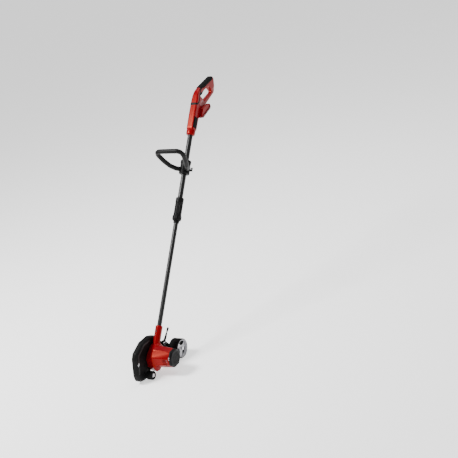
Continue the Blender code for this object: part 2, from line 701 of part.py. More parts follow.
def make_gears():
    half = GEAR_WIDTH / 2
    thin_bore = 0.0028
    towards_spindle = AXIS_TILT + pi
    pinion = toothed(MOTOR, PINION_TEETH, towards_spindle)
    plate("pinion", pinion, (-half, half), STEEL, TOOL, [circle(MOTOR, thin_bore, 12)])
    bore = SPINDLE_RADIUS + GAP
    gear = toothed(SPINDLE, GEAR_TEETH, AXIS_TILT + pi / GEAR_TEETH)
    plate("drive_gear", gear, (-half, half), STEEL, TOOL, [circle(SPINDLE, bore)])
    below_tube = GEAR_CASE_SIDE[:6] + [(0.066, 0.100), (0.030, 0.129), (-0.006, 0.116)]
    inside = inset(below_tube, WALL + GAP)
    holes = [circle(SPINDLE, 0.0134, 20), circle(MOTOR, 0.0065)]
    plate("gearbox_plate", inside, (0.0065, 0.0095), GREY, TOOL, holes)
    ring("spindle_bearing_outer", bore, 0.0130, (-0.0165, -0.0105), STEEL, TOOL, at=SPINDLE,
         steps=20)
    ring("spindle_bearing_inner", bore, 0.0130, (0.0055, 0.0105), STEEL, TOOL, at=SPINDLE, steps=20)
    rod("spindle", SPINDLE_RADIUS, (-0.0415, 0.0118), STEEL, TOOL, at=SPINDLE)


def make_blade():
    bore = SPINDLE_RADIUS + GAP
    half, wide = BLADE_LENGTH / 2, BLADE_WIDTH / 2
    local = [
        (-half, -wide * 0.2), (-half * 0.72, -wide), (half * 0.96, -wide), (half, -wide * 0.3),
        (half, wide * 0.2), (half * 0.72, wide), (-half * 0.96, wide), (-half, wide * 0.3),
    ]
    turn = BLADE_REST_ANGLE
    outline = [
        (SPINDLE[0] + a * cos(turn) - b * sin(turn), SPINDLE[1] + a * sin(turn) + b * cos(turn))
        for a, b in local
    ]
    plate("blade", outline, (-0.0285, -0.0260), STEEL, TOOL, [circle(SPINDLE, bore)])
    ring("inner_flange", bore, 0.0140, (-0.0256, -0.0172), STEEL, TOOL, at=SPINDLE, steps=20)
    ring("outer_flange", bore, 0.0170, (-0.0328, -0.0289), STEEL, TOOL, at=SPINDLE, steps=20)
    hexagon = circle(SPINDLE, 0.0110, 6)
    plate("blade_nut", hexagon, (-0.0400, -0.0332), STEEL, TOOL, [circle(SPINDLE, bore)])


def make_guard():
    low, high = GUARD
    guard = plate("blade_guard", GUARD_SIDE, GUARD, BLACK, TOOL, rounding=0.004)
    hollow = plate(
        "guard_hollow", inset(GUARD_SIDE, GUARD_WALL), (low - 0.01, high - GUARD_WALL), None, TOOL
    )
    mouth = plate("guard_mouth", GUARD_MOUTH, (low - 0.01, high - GUARD_WALL), None, TOOL)
    spindle_hole = rod("guard_spindle_hole", 0.0165, (low, high + 0.01), None, TOOL, at=SPINDLE,
                       steps=20)
    axle_hole = rod("guard_axle_hole", AXLE_RADIUS + GAP, (low, high + 0.01), None, TOOL,
                    at=FRONT_WHEEL)
    cut(guard, hollow, mouth, spindle_hole, axle_hole)


def make_front_wheel():
    low, high = FRONT_WHEEL_SIDES
    radius = FRONT_WHEEL_RADIUS
    bore = AXLE_RADIUS + GAP
    profile = [
        (bore, high - 0.004), (0.011, high - 0.004), (0.0135, high), (radius - 0.003, high),
        (radius, high - 0.004), (radius, low + 0.004), (radius - 0.003, low), (bore, low),
    ]
    turned("front_wheel", profile, RUBBER, TOOL, (0.0, *FRONT_WHEEL), ALONG_X, 28, ring=True)
    rod(
        "front_axle_bolt", AXLE_RADIUS, (GUARD[1] - 0.0045, high - 0.0002), STEEL, TOOL,
        at=FRONT_WHEEL, head=(0.0085, 0.0033),
    )


def make_rear_wheel():
    low, high = REAR_WHEEL_SIDES
    radius = REAR_WHEEL_RADIUS
    rim = radius - 0.0045
    tread = [
        (radius - 0.003, high), (radius, high - 0.004), (radius, low + 0.004),
        (radius - 0.003, low), (rim, low), (rim, high),
    ]
    turned("rear_tyre", tread, RUBBER, TOOL, (0.0, *REAR_WHEEL), ALONG_X, 32, ring=True)
    edge = rim - GAP
    bore = AXLE_RADIUS + GAP
    profile = [
        (edge, high - 0.001), (edge, low + 0.001), (edge - 0.003, low + 0.001),
        (edge - 0.003, high - 0.010), (0.0085, high - 0.010), (0.0085, low + 0.001),
        (bore, low + 0.001), (bore, high - 0.001), (0.0085, high - 0.001),
        (0.0085, high - 0.006), (edge - 0.003, high - 0.006), (edge - 0.003, high - 0.001),
    ]
    wheel = turned("rear_rim", profile, GREY, TOOL, (0.0, *REAR_WHEEL), ALONG_X, 30, ring=True)
    for k in range(3):
        start = 2 * pi * k / 3 + radians(25)
        outer = arc(REAR_WHEEL, edge - 0.0045, start, start + radians(84), 7)
        inner = arc(REAR_WHEEL, 0.0115, start + radians(74), start + radians(10), 3)
        window = plate(f"rim_window_{k + 1}", outer + inner, (high - 0.02, high + 0.01), None, TOOL)
        cut(wheel, window)
    rod(
        "rear_axle", AXLE_RADIUS, (BRACKET_SIDES[0], high + 0.0030), STEEL, TOOL, at=REAR_WHEEL,
        head=(0.0080, 0.0030),
    )


def make_wheel_carrier():
    pivot, axle = CARRIER_PIVOT, REAR_WHEEL
    down = atan2(axle[1] - pivot[1], axle[0] - pivot[0])
    up = radians(40)
    lever_end = (pivot[0] + 0.048 * cos(up), pivot[1] + 0.048 * sin(up))
    outline = (
        arc(pivot, 0.0150, up + radians(35), down + radians(290), 8)
        + arc(axle, 0.0105, down - radians(95), down + radians(95), 7)
        + arc(pivot, 0.0150, down + radians(55), up - radians(25), 3)
        + arc(lever_end, 0.0040, up - radians(90), up + radians(90), 4)
    )
    holes = [circle(pivot, AXLE_RADIUS + GAP), circle(axle, AXLE_RADIUS + GAP)]
    plate("wheel_carrier", outline, CARRIER_SIDES, BLACK, TOOL, holes)
    bracket = [
        (0.0840, 0.0720), (0.1000, 0.0780), *arc(pivot, 0.0145, radians(-60), radians(120), 7),
        (0.0960, 0.1240), (0.0780, 0.1120), (0.0810, 0.0920),
    ]
    plate("carrier_bracket", bracket, BRACKET_SIDES, BLACK, TOOL, [circle(pivot, AXLE_RADIUS + GAP)])
    rod(
        "pivot_bolt", AXLE_RADIUS, (BRACKET_SIDES[0] - 0.0010, CARRIER_SIDES[1] + 0.0045), STEEL, TOOL, at=pivot,
        head=(0.0085, 0.0040),
    )
    knob_start, knob_end = 0.0526, 0.0800
    profile = [
        (0.0, knob_end), (0.0035, knob_end - 0.0005), (0.0052, knob_end - 0.004),
        (0.0046, knob_start + 0.012), (0.0036, knob_start + 0.001), (0.0, knob_start + 0.0005),
    ]
    middle = sum(CARRIER_SIDES) / 2
    turned(
        "lever_knob", profile, RUBBER, TOOL, (middle, *pivot), (-(pi / 2 - up), 0.0, 0.0), 14
    )


def make_screws():
    for k, (x, n, s) in enumerate([(-0.0196, 0.002, 1.150), (-0.0196, 0.002, 1.215)]):
        profile = [(0.0, 0.0), (0.0030, 0.0), (0.0030, -0.0012), (0.0, -0.0012)]
        turned(f"handle_screw_{k + 1}", profile, STEEL, POLE, (x + 0.0003, n, s), ALONG_X, 12)
    profile = [(0.0, 0.0012), (0.0028, 0.0012), (0.0028, 0.0), (0.0, 0.0)]
    place_of = (0.0, -STEM_RADIUS - GAP, 0.110)
    turned("stem_screw", profile, STEEL, POLE, place_of, (pi / 2, 0.0, 0.0), 12)


make_pole()
make_handle()
make_controls()
make_battery_seat()
make_auxiliary_handle()
make_housing()
make_motor()
make_gears()
make_blade()
make_guard()
make_front_wheel()
make_rear_wheel()
make_wheel_carrier()
make_screws()
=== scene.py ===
"""The lawn edger's looks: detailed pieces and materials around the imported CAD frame."""

import json
from math import atan2, cos, hypot, pi, radians, sin, sqrt

import bmesh
import bpy
from mathutils import Matrix, Vector
from mathutils.bvhtree import BVHTree
from mathutils.geometry import delaunay_2d_cdt


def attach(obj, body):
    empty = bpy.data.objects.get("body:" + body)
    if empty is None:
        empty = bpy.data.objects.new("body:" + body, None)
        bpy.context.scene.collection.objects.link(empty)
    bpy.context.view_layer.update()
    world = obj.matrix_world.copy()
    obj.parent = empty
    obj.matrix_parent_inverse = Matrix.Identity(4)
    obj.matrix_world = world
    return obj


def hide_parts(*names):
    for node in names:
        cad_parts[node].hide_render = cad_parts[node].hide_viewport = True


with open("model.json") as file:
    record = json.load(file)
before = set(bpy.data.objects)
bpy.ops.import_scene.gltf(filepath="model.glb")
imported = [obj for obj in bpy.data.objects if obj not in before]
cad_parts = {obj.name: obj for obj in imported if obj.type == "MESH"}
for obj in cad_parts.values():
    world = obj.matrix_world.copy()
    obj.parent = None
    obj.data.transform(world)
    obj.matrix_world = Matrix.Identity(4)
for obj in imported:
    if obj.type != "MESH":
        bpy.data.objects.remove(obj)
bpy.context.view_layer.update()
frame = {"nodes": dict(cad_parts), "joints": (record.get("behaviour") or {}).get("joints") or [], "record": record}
NODES = frame["nodes"]
JOINTS = {joint["name"]: joint for joint in frame["joints"]}

# Two working spaces, both read from the frame: the tool's own, with its origin on the ground
# below the spindle, and the pole's, with Z up the pole and Y towards the rear.
SPINDLE = Vector(JOINTS["blade_spin"]["pos_m"])
MOTOR = Vector(JOINTS["rotor_spin"]["pos_m"])
UP_POLE = Vector(JOINTS["pole_slide"]["axis"])
REARWARD = UP_POLE.cross(Vector((1, 0, 0)))
TOOL = Matrix.Translation((SPINDLE.x, SPINDLE.y, 0.0))
POLE = Matrix((
    (1, 0, 0, MOTOR.x),
    (0, REARWARD.y, UP_POLE.y, MOTOR.y),
    (0, REARWARD.z, UP_POLE.z, MOTOR.z),
    (0, 0, 0, 1),
))
MOTOR_YZ = (MOTOR.y - SPINDLE.y, MOTOR.z)
SPINDLE_YZ = (0.0, SPINDLE.z)
REAR_HUB = Vector(JOINTS["rear_wheel_spin"]["pos_m"]) - TOOL.translation
FRONT_HUB = Vector(JOINTS["front_wheel_spin"]["pos_m"]) - TOOL.translation
PIVOT = Vector(JOINTS["depth_adjust"]["pos_m"]) - TOOL.translation
CLEARANCE = 0.0003  # between a bore and what it holds

# ---- stage

CAMERA_FROM_TOOL = Vector((2.5511, -3.2336, 2.2674))
CAMERA_AZIMUTH, CAMERA_ELEVATION, CAMERA_ROLL = radians(31.71), radians(21.79), radians(-11.98)
CAMERA_LENS = 78.6
WORLD_STRENGTH = 0.38
FLOOR_HALF_SIZE, FLOOR_DROP = 30, 0.0005


def linked(obj):
    bpy.context.scene.collection.objects.link(obj)


def make_camera():
    az, el, roll = CAMERA_AZIMUTH, CAMERA_ELEVATION, CAMERA_ROLL
    back = Vector((sin(az) * cos(el), -cos(az) * cos(el), sin(el)))
    level = Vector((cos(az), sin(az), 0.0))
    upright = back.cross(level)
    right = cos(roll) * level + sin(roll) * upright
    up = -sin(roll) * level + cos(roll) * upright
    data = bpy.data.cameras.new("camera")
    data.lens = CAMERA_LENS
    camera = bpy.data.objects.new("camera", data)
    camera.matrix_world = Matrix.Translation(TOOL.translation + CAMERA_FROM_TOOL) @ Matrix(
        (right, up, back)
    ).transposed().to_4x4()
    linked(camera)
    bpy.context.scene.camera = camera


def area_light(name, place, target, size, power):
    data = bpy.data.lights.new(name, "AREA")
    data.shape = "DISK"
    data.size = size
    data.energy = power
    light = bpy.data.objects.new(name, data)
    light.location = place
    aim = Vector(target) - Vector(place)
    light.rotation_euler = aim.to_track_quat("-Z", "Y").to_euler()
    linked(light)


def make_studio():
    world = bpy.data.worlds.new("studio")
    world.use_nodes = True
    world.node_tree.nodes["Background"].inputs["Color"].default_value = (1, 1, 1, 1)
    world.node_tree.nodes["Background"].inputs["Strength"].default_value = WORLD_STRENGTH
    bpy.context.scene.world = world
    area_light("key", (-1.6, -1.5, 3.0), (0, -0.1, 0.5), 1.1, 210)
    area_light("fill", (2.6, -2.2, 1.4), (0, 0, 0.5), 1.6, 16)
    area_light("top", (0.6, 1.2, 3.4), (0, 0, 0.4), 2.4, 60)
    bm = bmesh.new()
    bmesh.ops.create_grid(bm, x_segments=1, y_segments=1, size=FLOOR_HALF_SIZE)
    mesh = bpy.data.meshes.new("floor")
    bm.to_mesh(mesh)
    bm.free()
    floor = bpy.data.objects.new("floor", mesh)
    floor.location = (0, 0, -FLOOR_DROP)
    linked(floor)
    pale = bpy.data.materials.new("pale_floor")
    pale.use_nodes = True
    shader = pale.node_tree.nodes["Principled BSDF"]
    shader.inputs["Base Color"].default_value = (0.92, 0.92, 0.92, 1)
    shader.inputs["Roughness"].default_value = 0.9
    shader.inputs["Emission Color"].default_value = (1, 1, 1, 1)
    shader.inputs["Emission Strength"].default_value = 0.9
    mesh.materials.append(pale)

# ---- materials

class Finish:
    """A node material built up from a Principled shader, procedural colour, roughness and bump."""

    def __init__(self, name, sockets):
        self.material = bpy.data.materials.new(f"{name}_finish")
        self.material.use_nodes = True
        self.tree = self.material.node_tree
        self.shader = self.tree.nodes["Principled BSDF"]
        for socket, value in sockets.items():
            self.shader.inputs[socket].default_value = value
        self.place = self.node("TexCoord").outputs["Object"]

    def node(self, kind, **inputs):
        node = self.tree.nodes.new(f"ShaderNode{kind}")
        for name, value in inputs.items():
            node.inputs[name.replace("_", " ")].default_value = value
        return node

    def noise(self, scale, detail=3.0, roughness=0.5, stretch=None):
        node = self.node("TexNoise", Scale=scale, Detail=detail, Roughness=roughness)
        source = self.place
        if stretch:
            mapping = self.node("Mapping", Scale=stretch)
            self.tree.links.new(source, mapping.inputs["Vector"])
            source = mapping.outputs["Vector"]
        self.tree.links.new(source, node.inputs["Vector"])
        return node.outputs["Fac"]

    def cells(self, scale):
        node = self.node("TexVoronoi", Scale=scale)
        self.tree.links.new(self.place, node.inputs["Vector"])
        return node.outputs["Distance"]

    def source(self, kind, *settings):
        return self.cells(*settings) if kind == "cells" else self.noise(*settings)

    def color(self, source, stops):
        node = self.node("ValToRGB")
        while len(node.color_ramp.elements) < len(stops):
            node.color_ramp.elements.new(0.5)
        for element, (where, color) in zip(node.color_ramp.elements, stops):
            element.position = where
            element.color = (*color, 1)
        self.tree.links.new(source, node.inputs["Fac"])
        self.tree.links.new(node.outputs["Color"], self.shader.inputs["Base Color"])

    def roughness(self, source, low, high):
        node = self.node("MapRange", To_Min=low, To_Max=high)
        self.tree.links.new(source, node.inputs["Value"])
        self.tree.links.new(node.outputs["Result"], self.shader.inputs["Roughness"])

    def bump(self, source, strength, distance):
        node = self.node("Bump", Strength=strength, Distance=distance)
        self.tree.links.new(source, node.inputs["Height"])
        self.tree.links.new(node.outputs["Normal"], self.shader.inputs["Normal"])


def grey(level):
    return (level, level, level * 1.03)


def greys(low, high):
    return grey(low), grey(high)


# For each finish: its shader's sockets, then the source and two colours of its colour, the source
# and range of its roughness, and the source, strength and distance of its bump.
FINISHES = {
    "red_plastic": (
        {"IOR": 1.5, "Specular IOR Level": 0.5, "Specular Tint": (1.0, 0.13, 0.04, 1.0)},
        ("noise", 9), ((0.150, 0.000, 0.004), (0.185, 0.000, 0.005)),
        ("noise", 60, 4), (0.24, 0.34), ("noise", 1400, 2), (0.10, 0.0002),
    ),
    "black_plastic": (
        {"IOR": 1.27, "Specular IOR Level": 0.3}, ("noise", 14), greys(0.0025, 0.0045),
        ("noise", 90, 4), (0.36, 0.54), ("cells", 1500), (0.22, 0.0002),
    ),
    "gloss_black": (
        {"IOR": 1.22, "Specular IOR Level": 0.12}, ("noise", 20), greys(0.0015, 0.0025),
        ("noise", 70, 3), (0.16, 0.26), ("noise", 300, 2), (0.03, 0.0002),
    ),
    "black_rubber": (
        {"IOR": 1.2}, ("noise", 30, 4), greys(0.0020, 0.0040),
        ("noise", 120, 3), (0.62, 0.80), ("cells", 900), (0.35, 0.0003),
    ),
    "painted_tube": (
        {"IOR": 1.4}, ("noise", 16), greys(0.0035, 0.0055),
        ("noise", 150, 4), (0.26, 0.38), ("noise", 1800, 2), (0.10, 0.0001),
    ),
    "steel": (
        {"Metallic": 1.0}, ("noise", 40, 4), ((0.50, 0.51, 0.53), (0.64, 0.65, 0.67)),
        ("noise", 300, 3, 0.5, (1, 8, 8)), (0.22, 0.42),
        ("noise", 900, 2, 0.5, (1, 12, 12)), (0.08, 0.0001),
    ),
    "grey_plastic": (
        {"IOR": 1.5, "Metallic": 0.35, "Coat Weight": 0.2},
        ("noise", 25), ((0.34, 0.34, 0.36), (0.44, 0.44, 0.46)),
        ("noise", 90, 3), (0.30, 0.42), ("noise", 1200, 2), (0.08, 0.0001),
    ),
    "copper": (
        {"Metallic": 1.0}, ("noise", 200, 3), ((0.60, 0.26, 0.12), (0.80, 0.42, 0.25)),
        ("noise", 300, 3), (0.28, 0.45), None, None,
    ),
    "magnet": (
        {"Metallic": 0.3}, ("noise", 150, 5), greys(0.04, 0.08),
        ("noise", 200, 3), (0.5, 0.7), None, None,
    ),
    "circuit_board": (
        {}, ("cells", 500), ((0.01, 0.12, 0.04), (0.02, 0.20, 0.07)),
        ("noise", 200, 3), (0.35, 0.5), None, None,
    ),
    # A lighter black for the guard's ribs: painted highlight where the rim faces the light.
    "painted_highlight_plastic": (
        {"IOR": 1.35}, ("noise", 14), greys(0.011, 0.017),
        ("noise", 90, 4), (0.34, 0.48), ("cells", 1500), (0.2, 0.0002),
    ),
    "pale_plastic": (
        {"IOR": 1.5}, ("noise", 60), greys(0.62, 0.72),
        ("noise", 200, 3), (0.35, 0.5), ("noise", 900, 2), (0.06, 0.0001),
    ),
    "blackened_steel": (
        {"Metallic": 1.0}, ("noise", 300), greys(0.030, 0.055),
        ("noise", 400, 3), (0.30, 0.45), ("noise", 900, 2), (0.08, 0.0001),
    ),
}


def make_finish(name, sockets, tint, colors, gloss, roughness, relief, bump):
    finish = Finish(name, sockets)
    stops = (0.2, 0.6) if name == "circuit_board" else (0.3, 0.7)
    finish.color(finish.source(*tint), list(zip(stops, colors)))
    finish.roughness(finish.source(*gloss), *roughness)
    if relief:
        finish.bump(finish.source(*relief), *bump)
    return finish.material


make_camera()
make_studio()
FINISH = {name: make_finish(name, *recipe) for name, recipe in FINISHES.items()}

for part in frame["record"]["subparts"]:
    node = NODES[part["node"]]
    node.data.materials.clear()
    node.data.materials.append(FINISH[part["material_slot"]])
    node.data.shade_smooth()
    node.data.set_sharp_from_angle(angle=radians(32))

# ---- mesh tools

WELD = 0.000005  # points nearer than this are one


def tool_piece(name, bm, space=TOOL, at=None):
    """A loose object in the given space, or turned about X through a point of the tool's space."""
    if at is not None:
        bm.transform(axis_at(*at))
        space = Matrix()
    bmesh.ops.recalc_face_normals(bm, faces=bm.faces)
    mesh = bpy.data.meshes.new(name)
    bm.to_mesh(mesh)
    bm.free()
    mesh.transform(space)
    obj = bpy.data.objects.new(name, mesh)
    linked(obj)
    return obj


def settled(obj, finish, body, replaces=(), smooth=35):
    """Gives a loose object its material and its body."""
    obj.data.materials.clear()
    obj.data.materials.append(FINISH[finish])
    obj.data.shade_smooth()
    obj.data.set_sharp_from_angle(angle=radians(smooth))
    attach(obj, body)
    if replaces:
        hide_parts(*replaces)
    return obj


def finished(name, bm, finish, body, space=TOOL, replaces=(), smooth=35):
    """Makes the mesh an object of the scene in the given space, riding on a body."""
    bmesh.ops.remove_doubles(bm, verts=bm.verts, dist=WELD)
    return settled(tool_piece(name, bm, space), finish, body, replaces, smooth)


def rounded(obj, width, segments=2, angle=30):
    bevel = obj.modifiers.new("bevel", "BEVEL")
    bevel.width = width
    bevel.segments = segments
    bevel.limit_method = "ANGLE"
    bevel.angle_limit = radians(angle)
    bevel.harden_normals = True


def applied(obj):
    """Replaces the object's mesh with what its modifiers make of it."""
    bpy.context.view_layer.update()
    graph = bpy.context.evaluated_depsgraph_get()
    mesh = bpy.data.meshes.new_from_object(obj.evaluated_get(graph))
    obj.modifiers.clear()
    obj.data = mesh


def carve(obj, bm, space=TOOL, operation="DIFFERENCE", at=None):
    """Applies a Boolean with a mesh, placed as tool_piece places one."""
    cutter = tool_piece("cutter", bm, space, at)
    modifier = obj.modifiers.new("carve", "BOOLEAN")
    modifier.operation = operation
    modifier.solver = "MANIFOLD"
    modifier.object = cutter
    applied(obj)
    bpy.data.objects.remove(cutter)


def across(y, z):
    """Turns a mesh's Z to X, with its axis through y and z."""
    return Matrix(((0, 0, 1, 0), (1, 0, 0, y), (0, 1, 0, z), (0, 0, 0, 1)))


def axis_at(y, z):
    """The space of a part turned about X through y and z in the tool's space."""
    return TOOL @ across(y, z)


def lathe(profile, steps=96, wave=None, closed=False):
    """Turns (radius, height) points about Z; wave(angle, height) scales the radius."""
    bm = bmesh.new()
    rings = []
    for k in range(steps):
        angle = 2 * pi * k / steps
        ring = []
        for radius, height in profile:
            reach = radius * (wave(angle, height) if wave else 1.0)
            ring.append(bm.verts.new((reach * cos(angle), reach * sin(angle), height)))
        rings.append(ring)
    count = len(profile) if closed else len(profile) - 1
    for here, there in zip(rings, rings[1:] + rings[:1]):
        for k in range(count):
            m = (k + 1) % len(profile)
            bm.faces.new((here[k], there[k], there[m], here[m]))
    bmesh.ops.remove_doubles(bm, verts=bm.verts, dist=WELD)
    bmesh.ops.dissolve_degenerate(bm, edges=bm.edges, dist=WELD)
    return bm


def rod(radius, low, high, steps=48):
    return lathe([(0.0, low), (radius, low), (radius, high), (0.0, high)], steps)


def skin(bm, rings):
    made = [[bm.verts.new(point) for point in ring] for ring in rings]
    for lower, upper in zip(made, made[1:]):
        for k in range(len(lower)):
            m = (k + 1) % len(lower)
            bm.faces.new((lower[k], lower[m], upper[m], upper[k]))
    return made


def loft(rings):
    """Joins rings of the same number of points into a closed skin."""
    bm = bmesh.new()
    made = skin(bm, rings)
    bm.faces.new(made[0][::-1])
    bm.faces.new(made[-1])
    return bm


def layered(outline, levels):
    """The outline lofted along X through levels: each an X and how far it is inset there."""
    return loft([
        [(x, *p) for p in (inset(outline, away) if away else outline)] for x, away in levels
    ])


def prism(outline, low, high):
    return layered(outline, ((low, 0.0), (high, 0.0)))


def slab(outline, half, rounding, steps):
    """The outline made solid to half on both sides of X = 0, its edges rounded."""
    profile = edge_profile(rounding, steps)
    return layered(outline, [
        (side * (half - down), inwards) for side in (-1, 1) for inwards, down in profile[::-side]
    ])


def oblong(left, right, bottom, top):
    return [(left, bottom), (right, bottom), (right, top), (left, top)]


def box_mesh(low, high):
    return prism(oblong(low[1], high[1], low[2], high[2]), low[0], high[0])


def arc(at, radius, start, end, count):
    steps = [start + (end - start) * k / (count - 1) for k in range(count)]
    return [(at[0] + radius * cos(a), at[1] + radius * sin(a)) for a in steps]


def inset(outline, distance):
    """The outline with each side moved inwards; it runs anticlockwise."""
    sides = []
    for (y0, z0), (y1, z1) in zip(outline, outline[1:] + outline[:1]):
        length = hypot(y1 - y0, z1 - z0)
        inward = (-(z1 - z0) / length, (y1 - y0) / length)
        sides.append((inward, inward[0] * y0 + inward[1] * z0 + distance))
    points = []
    for (y, z), (a, c), (b, d) in zip(outline, sides[-1:] + sides[:-1], sides):
        cross = a[0] * b[1] - a[1] * b[0]
        if abs(cross) < 0.001:
            points.append((y + distance * a[0], z + distance * a[1]))
        else:
            points.append(((c * b[1] - d * a[1]) / cross, (a[0] * d - b[0] * c) / cross))
    return points


def softened(outline, radius, count=5):
    """The outline with each corner rounded, by less than radius where a side is short."""
    points = []
    for before, here, after in zip(outline[-1:] + outline[:-1], outline, outline[1:] + outline[:1]):
        here = Vector(here)
        to_before, to_after = Vector(before) - here, Vector(after) - here
        reach = min(radius, 0.45 * to_before.length, 0.45 * to_after.length)
        start = here + reach * to_before.normalized()
        end = here + reach * to_after.normalized()
        for k in range(count):
            t = k / (count - 1)
            points.append(tuple((1 - t) ** 2 * start + 2 * t * (1 - t) * here + t * t * end))
    return points


def divided(outline, longest):
    points = []
    for (y0, z0), (y1, z1) in zip(outline, outline[1:] + outline[:1]):
        count = max(1, round(hypot(y1 - y0, z1 - z0) / longest))
        points += [(y0 + (y1 - y0) * k / count, z0 + (z1 - z0) * k / count) for k in range(count)]
    return points


def smooth_step(value, low, high):
    t = min(max((value - low) / (high - low), 0.0), 1.0)
    return t * t * (3 - 2 * t)


def plateau(value, rise, top, fall, end):
    return smooth_step(value, rise, top) * (1 - smooth_step(value, fall, end))


def smoothed(points, spacing, rounds):
    path = [Vector(points[0])]
    for start, end in zip(points, points[1:]):
        start, end = Vector(start), Vector(end)
        count = max(1, round((end - start).length / spacing))
        path += [start.lerp(end, (k + 1) / count) for k in range(count)]
    for _ in range(rounds):
        path[1:-1] = [(a + 2 * b + c) / 4 for a, b, c in zip(path, path[1:], path[2:])]
    return path

# ---- handle

GRIP_CORNER = (-0.012, 1.322)
GRIP_ANGLE = atan2(0.119, 0.104)
BARREL_HALF_WIDTH, GRIP_HALF_WIDTH, STRUT_HALF_WIDTH = 0.019, 0.0130, 0.0100
SEAM, SEAM_CHAMFER = 0.00015, 0.0005  # half the gap between the two shells, and its edge
OUTER_ROUNDING, OPENING_ROUNDING = 0.0072, 0.004
TUBE_RADIUS = 0.0125
LOCK_OFF = (-0.004, 1.288)
FOOT_HALF_WIDTH = 0.033


def on_grip(points):
    """Points given along the grip from its front corner and across it."""
    along = (cos(GRIP_ANGLE), sin(GRIP_ANGLE))
    return [
        (GRIP_CORNER[0] + g * along[0] + h * along[1], GRIP_CORNER[1] + g * along[1] - h * along[0])
        for g, h in points
    ]


# Outlines in the pole's n (rearward) and s (up the pole), anticlockwise
HANDLE = [
    (-0.0195, 1.108), (0.0220, 1.108), (0.0250, 1.180), (0.046, 1.224), (0.083, 1.281),
    (0.138, 1.366), (0.137, 1.384), (0.110, 1.434), *on_grip([(0.156, 0.0020), (0.012, 0.0020)]),
    (-0.0140, 1.312), (-0.0175, 1.296), (-0.0195, 1.200),
]
OPENING = [
    (0.0085, 1.306), (0.0140, 1.296), (0.050, 1.288), (0.058, 1.291), (0.109, 1.354),
    (0.1105, 1.364), (0.080, 1.373), (0.071, 1.370),
]
FOOT = [
    (0.0220, 1.1810), (0.0400, 1.1935), (0.0960, 1.2730), (0.0800, 1.2830), (0.0500, 1.2700),
    (0.0220, 1.2350),
]


def half_width(n, s):
    """Half the handle's width, which narrows from the barrel to the grip and the strut."""
    to_grip = smooth_step(s, 1.255, 1.325)
    behind = (n - 0.030) * 0.76 - (s - 1.293) * 0.65
    to_strut = smooth_step(behind, 0.004, 0.020) * smooth_step(s, 1.225, 1.275)
    upper = GRIP_HALF_WIDTH + (STRUT_HALF_WIDTH - GRIP_HALF_WIDTH) * to_strut
    return BARREL_HALF_WIDTH + (upper - BARREL_HALF_WIDTH) * max(to_grip, to_strut)


def inside(point, outline):
    found = False
    for (y0, z0), (y1, z1) in zip(outline, outline[1:] + outline[:1]):
        if (z0 > point[1]) != (z1 > point[1]):
            found ^= point[0] < y0 + (point[1] - z0) * (y1 - y0) / (z1 - z0)
    return found


def edge_distance(point, outline):
    spot = Vector(point)
    nearest = 1.0
    for start, end in zip(outline, outline[1:] + outline[:1]):
        start, run = Vector(start), Vector(end) - Vector(start)
        t = min(max((spot - start).dot(run) / run.length_squared, 0.0), 1.0)
        nearest = min(nearest, (spot - start - t * run).length)
    return nearest


def face_grid(rims, spacing):
    """Points and triangles that fill the first rim, less the others, at about this spacing."""
    points, edges = [], []
    for rim in rims:
        first = len(points)
        points += [Vector(point) for point in rim]
        edges += [(first + k, first + (k + 1) % len(rim)) for k in range(len(rim))]
    lows = [min(p[a] for p in rims[0]) for a in (0, 1)]
    highs = [max(p[a] for p in rims[0]) for a in (0, 1)]
    rows = int((highs[1] - lows[1]) / (spacing * 0.866)) + 1
    columns = int((highs[0] - lows[0]) / spacing) + 1
    for row in range(rows):
        for column in range(columns):
            spot = (lows[0] + (column + 0.5 * (row % 2)) * spacing,
                    lows[1] + row * spacing * 0.866)
            held = inside(spot, rims[0]) and not any(inside(spot, rim) for rim in rims[1:])
            if held and min(edge_distance(spot, rim) for rim in rims) > spacing * 0.55:
                points.append(Vector(spot))
    # Output type 1 is every triangle inside the first rim, those in the openings among them.
    made = delaunay_2d_cdt(points, edges, [], 1, 1e-7)
    spots, ridges, faces, sources, origins = made[:5]
    walls = {frozenset(ridge) for ridge, origin in zip(ridges, origins) if origin}
    beside = {}
    for number, face in enumerate(faces):
        for a, b in zip(face, face[1:] + face[:1]):
            beside.setdefault(frozenset((a, b)), []).append(number)
    waiting = [next(numbers[0] for numbers in beside.values() if len(numbers) == 1)]
    kept = {waiting[0]: True}
    while waiting:
        number = waiting.pop()
        face = faces[number]
        for a, b in zip(face, face[1:] + face[:1]):
            edge = frozenset((a, b))
            for other in beside[edge]:
                if other not in kept:
                    kept[other] = kept[number] != (edge in walls)
                    waiting.append(other)
    solid = [face for number, face in enumerate(faces) if kept[number]]
    return spots, solid, [min(source, default=len(points)) for source in sources]


def edge_profile(rounding, steps):
    """Inwards and down at each step of a rounded edge, from its side to its flat face."""
    turns = [pi / 2 * k / steps for k in range(steps + 1)]
    return [(rounding * (1 - cos(turn)), rounding * (1 - sin(turn))) for turn in turns]


